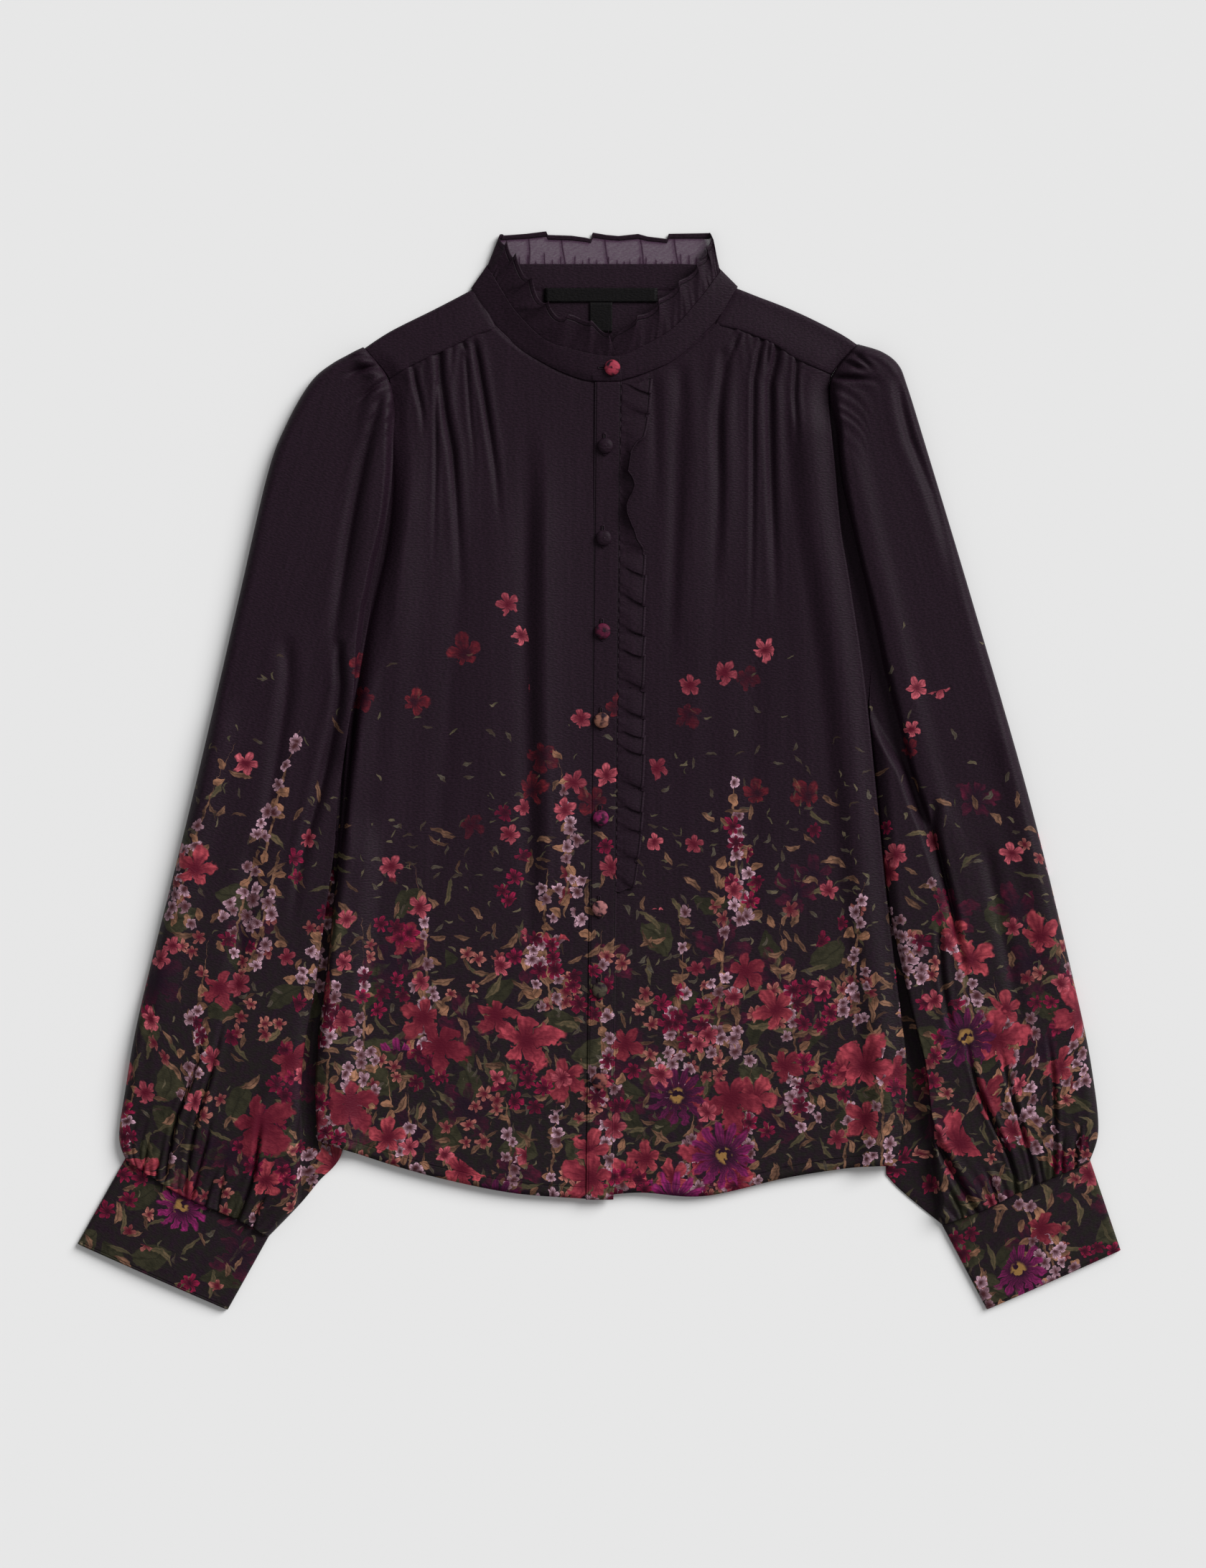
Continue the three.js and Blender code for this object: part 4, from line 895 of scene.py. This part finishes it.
x += (1.7 - 4.0 * step_back) * size * u * (1 - curl)
swell = size * rise(1.25 * u + 0.12)
z = front_plain(x, y) + 2.2 + (1 - np.cos(phase)) * swell * (1.15 - 0.6 * curl)
z += 0.35 * small * np.exp(-u * 3) + 5.0 * curl * u**2 + 0.3 * rise((u - 0.88) / 0.05)
y = y + np.cos(phase) * swell * (5.2 - 3.8 * curl)
placket = cloth_piece(
    "placket_frill_piece", np.stack([x, y, z], axis=-1), plain_crepe, wall=0.35, stitch=22 * u - 19.6,
)
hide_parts("placket_frill")

# Sleeves: each is one piece of crepe sewn into a tube, gathered at its head into the armhole and at
# its foot into the cuff. They lie pressed nearly flat, with long soft folds.

TUBE = 2.8  # how thick a flattened tube is, both layers and the air between them
SLEEVE_THIN = 1.2  # the least that a sleeve is thick
SLEEVE_RIGHT = {
    "tip": 306,
    "outer": ((-193, 295), (-210, 280), (-228, 248), (-241, 212), (-262, 121), (-296, -25),
              (-332, -170), (-344, -235), (-348, -266), (-343.4, -281.8)),
    "cuff": ((-343.4, -281.8), (-316, -300), (-293.3, -312.6), (-262, -325.5), (-240.2, -337.8)),
    "free": ((-204, -298), (-219, -316), (-240.2, -337.8)),
    "underarm": 111,
    "inner_foot": -276,
    "valley": (  # y, where the roll starts beyond the body's edge, over what width it climbs
        (-310, 14, 4), (-212, 12, 4), (-165, 9.5, 4), (-105, 7.6, 4), (-55, 4.8, 4), (-10, 3.6, 4),
        (40, 0, 4), (60, -1.6, 4), (80, -1.2, 4), (115, 0.4, 4), (130, -0.8, 4), (150, -2, 4),
        (165, -4, 4), (185, -5.5, 4), (300, -6, 4),
    ),
    "hollow": ((-310, 0, 0, 0), (310, 0, 0, 0)),
    "folds": (
        (((-156, 276), (-165.5, 242), (-174, 206), (-182, 163), (-190, 110), (-196, 60)), -3.6, 4.0, 0.6),
        (((-188, 90), (-190, 58), (-204, -14), (-217, -71), (-224, -130)), -4.0, 3.0, 1.2),
        (((-226, 90), (-226, 58), (-238, -19), (-246, -80)), -2.6, 5.0, 0.6),
        (((-155, 291), (-172, 290), (-186, 283)), -4.0, 2.2, 1.4),
        (((-158, 297), (-172, 299), (-184, 297)), -2.6, 1.5, 1.0),
        (((-154, 283), (-168, 272), (-176, 262)), -2.8, 1.8, 1.0),
        (((-314.1, -296), (-306.6, -253.8), (-294, -222), (-282, -175)), -7.0, 1.5, 2.0),
        (((-301, -306), (-291.5, -253.8), (-281.4, -222), (-270, -170)), -5.5, 1.5, 1.8),
        (((-296, -312), (-290, -290), (-283.9, -268.9), (-280, -245)), -5.0, 1.2, 1.4),
        (((-263.7, -328), (-252.4, -300.5), (-248.6, -282.8), (-244, -240)), -6.5, 1.6, 1.8),
        (((-277, -322), (-273, -300), (-270, -280)), -4.0, 1.2, 1.2),
        (((-331, -294), (-328, -276), (-325, -262)), -4.5, 1.3, 1.4),
        (((-322, -300), (-318, -280), (-314, -268)), -3.0, 1.1, 1.0),
        (((-252, -334), (-246, -316), (-238, -300)), -4.5, 1.2, 1.2),
        (((-286, -318), (-281, -300), (-277, -288)), -3.0, 1.1, 1.0),
        (((-216, -270), (-217, -222), (-212, -150)), -5.0, 5.0, 1.0),
        (((-233, -225), (-250, -255), (-254, -290)), 2.4, 5.0, 0.0),
        (((-270, 40), (-300, -90), (-322, -220)), 2.4, 9.0, 0.0),
        (((-250, -60), (-262, -140), (-272, -230)), -2.4, 6.0, 0.4),
        (((-318, -100), (-326, -170), (-332, -240)), -1.8, 4.0, 0.4),
    ),
}
SLEEVE_LEFT = {
    "tip": 309,
    "outer": ((205, 303.5), (217, 294), (223.5, 278), (236.5, 236), (271, 121), (313, -25),
              (348, -170), (358.5, -225), (362, -262), (356, -283)),
    "cuff": ((356, -283), (342, -289.4), (309.8, -303), (275.8, -319.6), (248.4, -329.4)),
    "free": ((210.3, -296), (223, -308.6), (248.4, -329.4)),
    "underarm": 95,
    "inner_foot": -288,
    "valley": (
        (-310, 30, 4), (-250, 20, 4), (-200, 12, 4), (-150, 6, 7), (-100, 1.5, 11), (-36, 1, 13),
        (30, 1, 13), (60, 3, 10), (89, 8, 6), (122, 12, 4), (160, 13, 4), (214, 8, 4), (232, 6, 4),
        (255, 4, 4), (310, -6, 4),
    ),
    "hollow": (  # y, x where it starts to fall, x of the crest beyond it, depth
        (-310, 256, 268, 0), (-140, 254, 266, 0), (-105, 247, 262, 2.5), (-80, 241, 257, 4.5),
        (-50, 232, 250, 6.5), (-24, 222, 240, 7.5), (1, 214, 232, 8.5), (28, 200, 225.5, 9.3),
        (58, 188, 218, 9.5), (89, 180, 210.5, 9.5), (122, 175, 203, 9.5), (152, 170, 195, 9.5),
        (181, 165, 188, 9.5), (214, 160, 180.5, 9.5), (236, 160, 178, 4), (250, 160, 178, 0),
        (310, 160, 178, 0),
    ),
    "folds": (
        (((168.8, 284.2), (185.6, 283.4), (203, 281)), -4.0, 1.8, 1.4),
        (((186, 300), (194, 293), (200, 287)), -2.6, 1.5, 1.0),
        (((178, 296), (188, 291), (196, 290)), -2.4, 1.4, 0.9),
        (((216.2, 281), (223.8, 243), (241.8, 197), (262, 120)), -3.0, 4.0, 0.8),
        (((243.9, -25), (246, -50), (257, -105), (264, -148), (269, -174)), -4.5, 2.2, 1.6),
        (((246, -115), (248, -150), (257, -205)), -3.6, 2.0, 1.2),
        (((302.4, -311), (300.4, -292), (293.4, -272.5), (282.2, -250), (271, -222), (262, -180)),
         -7.0, 1.5, 2.0),
        (((316, -304), (311.5, -280.8), (303, -250), (294.7, -222), (288, -190)), -5.5, 1.5, 1.8),
        (((328.2, -300), (329.6, -264), (328.2, -222), (322, -180)), -4.0, 1.5, 1.4),
        (((344.5, -292), (346, -270), (349, -250)), -4.5, 1.4, 1.5),
        (((251, -330), (240.2, -308.6), (230.7, -285)), -4.5, 1.3, 1.4),
        (((274, -321), (261.3, -300.3), (247.4, -275.2), (236.2, -250), (224, -222)), -7.0, 2.4, 1.8),
        (((289, -316), (284, -300), (278, -286)), -3.6, 1.2, 1.2),
        (((321, -301), (319, -286), (316, -272)), -3.2, 1.1, 1.1),
        (((336, -295), (335, -280), (336, -262)), -3.4, 1.1, 1.2),
        (((263, -326), (258, -312), (250, -298)), -3.0, 1.1, 1.0),
        (((290, 30), (316, -80), (334, -200)), 2.4, 9.0, 0.0),
        (((280, -60), (298, -150), (308, -210)), -2.2, 5.0, 0.4),
    ),
}
SLEEVE_CROWN = 8.5
CUFF_JOIN = -42  # where the middle of a sleeve's foot lies on the cloth


def tube_ring(spot, u, v, low, top, roll, thin, lean=lambda x, y: 0 * x):
    """A flattened tube: over its top from the outer fold to the inner one, then back below. Its
    folded edges are round over a width given by roll, and thin is the least that it is thick. lean
    moves the upper layer sideways."""
    width = np.linalg.norm(spot(0 * v[:, :1], v[:, :1]) - spot(0 * v[:, :1] + 1, v[:, :1]), axis=-1)
    plan = spot(u, v)
    x, y = plan[..., 0], plan[..., 1]
    floor = low(x, y)
    ceiling = np.maximum(top(x, y, u, v), floor + thin)
    edge = np.minimum(u, 1 - u) * width
    bend = np.sqrt(np.clip(1 - (1 - np.clip(edge / roll, 0, 1)) ** 2, 0, 1))
    middle = floor + thin / 2
    over = np.dstack([plan, middle + (ceiling - middle) * bend])
    over[..., 0] += lean(x, y)
    tight = np.sqrt(np.clip(1 - (1 - np.clip(edge / 1.5, 0, 1)) ** 2, 0, 1))
    below = np.dstack([plan, middle - (middle - floor) * tight])
    last = u.shape[1] - 1
    kept = [i for i in range(last - 1, 0, -1) if min(i, last - i) < 5 or i % 6 == 0]
    return np.concatenate([over, below[:, kept]], axis=1)


def edge_spaced(count, fine):
    """Shares from 0 to 1 that lie closer together near both ends, the more so the larger fine is."""
    t = np.linspace(0, 1, count)
    return t - fine * np.sin(2 * np.pi * t) / (2 * np.pi)


def turned(points, start, turn):
    """Places in plan, measured from start and turned."""
    x, y = points[..., 0] - start[0], points[..., 1] - start[1]
    return np.dstack([x * np.cos(turn) - y * np.sin(turn), x * np.sin(turn) + y * np.cos(turn)])


def around_tube(points, place, over):
    """Places that follow a tube round from the middle of its upper layer, which has over columns."""
    return unrolled(points, place, over // 2, (over + points.shape[1]) // 2)


def sleeve(side, name, shape, seed, offset):
    """offset is where on the cloth the sleeve is cut, along the border."""
    edge_x, lap = side_x[side], side_lap[side]

    def inner(y):
        y = np.asarray(y, float)
        return np.stack([edge_x(y) - side * lap(y), y], axis=-1)

    armhole = inner(np.linspace(shape["tip"], shape["underarm"], 10))
    rest = inner(np.linspace(shape["underarm"], shape["inner_foot"], 9))
    spot = patch(
        seam(armhole),
        seam(shape["cuff"]),
        seam(np.vstack([armhole[:1], shape["outer"]])),
        seam(np.vstack([rest, shape["free"]])),
    )
    valley, climb = reading(shape["valley"], 1), reading(shape["valley"], 2)
    fall, crest, deep = (reading(shape["hollow"], k) for k in (1, 2, 3))
    laps_over = side < 0

    def low(x, y):
        if not laps_over:
            return 0 * x
        inward = side * (edge_x(y) - x)
        over_body = 3.7 * rise((inward + 20) / 16) * rise((y + 4) / 24)
        return over_body + 0.9 * rise((inward + 8) / 5) * rise((4 - y) / 24)

    def in_hollow(x, y):
        """How far down in the long hollow between two rolls, from 0 to 1."""
        return rise((x - fall(y)) / 9) * (1 - rise((x - crest(y) + 7) / 7.5))

    def top(x, y, u, v):
        beyond = side * (x - edge_x(y)) - valley(y)
        up = rise((beyond + 1) / climb(y))
        round_off = rise(v / 0.03 + 0.45) * (1 - 0.4 * rise((v - 0.88) / 0.12))
        pressed = rise((y - 205) / 45) if laps_over else 0
        near_inner = 1 - pressed * (1 - rise((1 - u) / 0.16 + 0.25))
        drape = folds(shape["folds"], x, y, 0.45)
        drape += deep(y) * (0.22 * np.exp(-(((x - crest(y) - 6) / 8) ** 2)) - in_hollow(x, y))
        foot = rise((v - 0.86) / 0.14)
        pucker = ripples(u * 130, 3.4, seed) * foot**2 * 1.0
        head = ripples(u * 220, 4.4, seed + 1) * (1 - rise(v / 0.08)) * 0.9 * (1 - rise((u - 0.25) / 0.15))
        tall = (SLEEVE_CROWN + TUBE - SLEEVE_THIN + drape) * round_off * near_inner + pucker + head
        return low(x, y) + SLEEVE_THIN + np.maximum(up * tall, 0)

    u, v = np.meshgrid(edge_spaced(150, 0.25), edge_spaced(235, 0.35))

    def lean(x, y):
        """The roll beside the body leans over the gap between the two, and the next one does too."""
        beyond = side * (x - edge_x(y)) - valley(y)
        over = rise((beyond - 0.5) / 3) * (1 - rise((beyond - 4) / 20)) * rise((y + 272) / 30)
        amount = 5.0 if laps_over else 3.6
        next_roll = 0.4 * deep(y) * np.exp(-(((x - crest(y)) / 5) ** 2))
        return -side * (amount * over * rise((100 - y) / 60) + next_roll)

    points = tube_ring(spot, u, v, low, top, 8.0, SLEEVE_THIN, lean)
    turn = np.arctan2(*(spot(0.5, 0.0) - spot(0.5, 1.0)))
    foot = spot(0.5, 1.0)
    place = around_tube(points, turned(points, foot, turn) + (offset, CUFF_JOIN), u.shape[1])
    piece = cloth_piece(name + "_tube", points[:, ::-1], printed_crepe, place=place[:, ::-1], closed=True)
    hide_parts(name)


sleeve(-1, "sleeve_right", SLEEVE_RIGHT, 31, 1300)
sleeve(1, "sleeve_left", SLEEVE_LEFT, 41, 2300)

# Cuffs: deep straight bands of crepe, folded double, closed all round and pressed flat.

CUFF_HEM = {-1: ((-378, -343.5), (-270, -391)), 1: ((378, -348), (281, -391))}


def cuff(side, name, shape, offset):
    start, end = (np.array(p, float) for p in CUFF_HEM[side])
    above_line = seam(shape["cuff"])
    way = (start - above_line(0.0)) / np.linalg.norm(start - above_line(0.0))
    seam_line = lambda u: above_line(u) + way * 0.1
    spot = patch(
        seam_line, straight(start, end), straight(seam_line(0.0), start), straight(seam_line(1.0), end)
    )
    u, v = np.meshgrid(edge_spaced(60, 0.8), edge_spaced(26, 0.6))
    dip = lambda v: 0.5 * np.exp(-(((v - 0.05) / 0.02) ** 2)) + 0.5 * np.exp(-(((v - 0.93) / 0.015) ** 2))
    top = lambda x, y, u, v: TUBE + 1.4 * np.sin(np.pi * u) + 0.6 - 0.25 * dip(v)
    points = tube_ring(spot, u, v, lambda x, y: 0 * x, top, 3.0, TUBE)
    place = turned(points, start, -np.arctan2(end[1] - start[1], end[0] - start[0]))
    if side > 0:
        place[..., 0] *= -1
        place[..., 1] *= np.sign(place[..., 1].mean())
    place = around_tube(points, place + (offset, 0), u.shape[1])
    length = np.linalg.norm(end - above_line(1.0))
    past = 1.6 - (1 - np.hstack([v, v])[:, : points.shape[1]]) * length
    piece = cloth_piece(
        name + "_band", points[:, ::-1], printed_crepe, place=place[:, ::-1], closed=True,
        stitch=past[:, ::-1],
    )
    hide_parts(name)


cuff(-1, "cuff_right", SLEEVE_RIGHT, 3300)
cuff(1, "cuff_left", SLEEVE_LEFT, 4300)

# Buttonholes: worked in close stitches up and down the band, and across the stand for the first.

BUTTONS = (
    (9.3, 291), (4.4, 234.6), (3.2, 167.9), (2.4, 100.5), (1.8, 36), (1, -34.6),
    (0.4, -100.2), (0.2, -159.1), (0.2, -224.9),
)
HOLE_LENGTH, HOLE_WIDTH, HOLE_STEPS = 17, 2.6, 64
button_seat = [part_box(f"button_{i + 1}")[0][2] * 1000 for i in range(len(BUTTONS))]
# The inner rings of each buttonhole are painted near-black: a painted shadow inside the slit, darker than the
# cloth itself.
shadow_crepe = crepe("shadow_crepe", printed=False, base=(0.002, 0.0012, 0.0018, 1))
for i, (spot, seat) in enumerate(zip(BUTTONS, button_seat)):
    turn, ring = np.meshgrid(np.linspace(0, 2 * np.pi, HOLE_STEPS, endpoint=False), np.linspace(0, 1, 7))
    round_end = HOLE_WIDTH / 2 * (1 - np.maximum(ring, 0.01) ** 0.8)
    straight_run = np.sign(np.sin(turn)) * (HOLE_LENGTH - HOLE_WIDTH) / 2 * (1 - 0.1 * ring)
    across, up = round_end * np.cos(turn), round_end * np.sin(turn) + straight_run
    if i == 0:
        across, up = up, across
    z = seat - 0.1 + 0.45 * np.sin(np.pi * np.minimum(ring * 1.5, 0.9))
    aside, higher = (-2.4, 0) if i == 0 else (-0.6, 1.2)
    points = np.dstack([spot[0] + across + aside, spot[1] + up + higher, z])
    hole = cloth_piece(f"buttonhole_{i + 1}", points, plain_crepe, wall=0.2, closed=True)
    hole.data.materials.append(shadow_crepe)
    for face in hole.data.polygons:
        face.material_index = int(face.index >= 3 * HOLE_STEPS)

# Covered buttons: domed shells covered with the same crepe. Most are cut where the cloth is plain,
# and the others show a part of a printed flower or leaf.

COVERS = {
    0: (0.30, 0.035, 0.060, 1), 3: (0.085, 0.010, 0.030, 1), 4: (0.24, 0.105, 0.075, 1),
    5: (0.17, 0.014, 0.070, 1), 6: (0.30, 0.120, 0.120, 1), 7: (0.060, 0.050, 0.034, 1),
    8: (0.20, 0.060, 0.050, 1),
}
BUTTON_RADIUS, BUTTON_DOME = 5.7, 2.3
for i, (spot, seat) in enumerate(zip(BUTTONS, button_seat)):
    ring, turn = np.meshgrid(np.linspace(0, 1, 14), np.linspace(0, 2 * np.pi, 40, endpoint=False))
    bend = ring * np.pi * 0.6
    radius = BUTTON_RADIUS * np.sin(np.minimum(bend, np.pi / 2)) ** 0.85 - 0.5 * rise((ring - 0.83) / 0.17)
    z = seat + 1.0 + BUTTON_DOME * np.cos(bend)
    points = np.dstack([spot[0] + radius * np.cos(turn), spot[1] + radius * np.sin(turn), z])
    cover = plain_crepe
    if i in COVERS:
        cover = crepe(f"cover_{i + 1}", printed=False, blot=COVERS[i])
    piece = cloth_piece(f"covered_button_{i + 1}", points.transpose(1, 0, 2), cover, closed=True)
    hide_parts(f"button_{i + 1}")

# Labels: a woven black neck label and a smaller tab below it, both blank, sewn inside the back.

label_cloth = crepe("label_tape", printed=False, base=(0.0045, 0.0038, 0.0042, 1))
for name, node in (("woven_label", "neck_label"), ("woven_tab", "size_tab")):
    low_corner, high_corner = np.array(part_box(node)) * 1000
    u, v = grid(30, 12)
    points = np.dstack([
        low_corner[0] + (high_corner[0] - low_corner[0]) * u,
        high_corner[1] + (low_corner[1] - high_corner[1]) * v,
        0 * u + high_corner[2],
    ])
    tag = cloth_piece(name, points, label_cloth, wall=0.4)
    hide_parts(node)

# Studio: a pale floor, soft light from above with a little more from the upper right, and a camera
# straight above the blouse.

bpy.ops.mesh.primitive_plane_add(size=6, location=(0, 0, -0.0004))
floor = bpy.context.object
floor.name = "studio_floor"
paper = bpy.data.materials.new("studio_paper")
paper.use_nodes = True
paper_sockets = paper.node_tree.nodes["Principled BSDF"].inputs
paper_sockets["Base Color"].default_value = (0.84, 0.84, 0.84, 1)
paper_sockets["Roughness"].default_value = 0.9
paper_sockets["Specular IOR Level"].default_value = 0.1
floor.data.materials.append(paper)
floor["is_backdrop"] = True

world = bpy.data.worlds.new("studio")
bpy.context.scene.world = world
world.use_nodes = True
world.node_tree.nodes["Background"].inputs[0].default_value = (1, 1, 1, 1)
world.node_tree.nodes["Background"].inputs[1].default_value = 0.33
lamp = bpy.data.objects.new("key", bpy.data.lights.new("key", "SUN"))
lamp.data.energy = 3.68
lamp.data.angle = 0.6
lamp.rotation_euler = (-0.55, 0.9, 0)
bpy.context.collection.objects.link(lamp)

camera = bpy.data.objects.new("camera", bpy.data.cameras.new("camera"))
camera.data.lens = 85
camera.data.sensor_fit = "VERTICAL"
camera.data.sensor_height = 36
camera.location = (0.0026, -0.0101, 2.6865)
bpy.context.collection.objects.link(camera)
bpy.context.scene.camera = camera
bpy.context.scene.view_settings.view_transform = "Standard"

size = {"cad": [list(map(float, corner)) for corner in cad_box]}
size["visual"] = [list(map(float, corner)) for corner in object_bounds()]
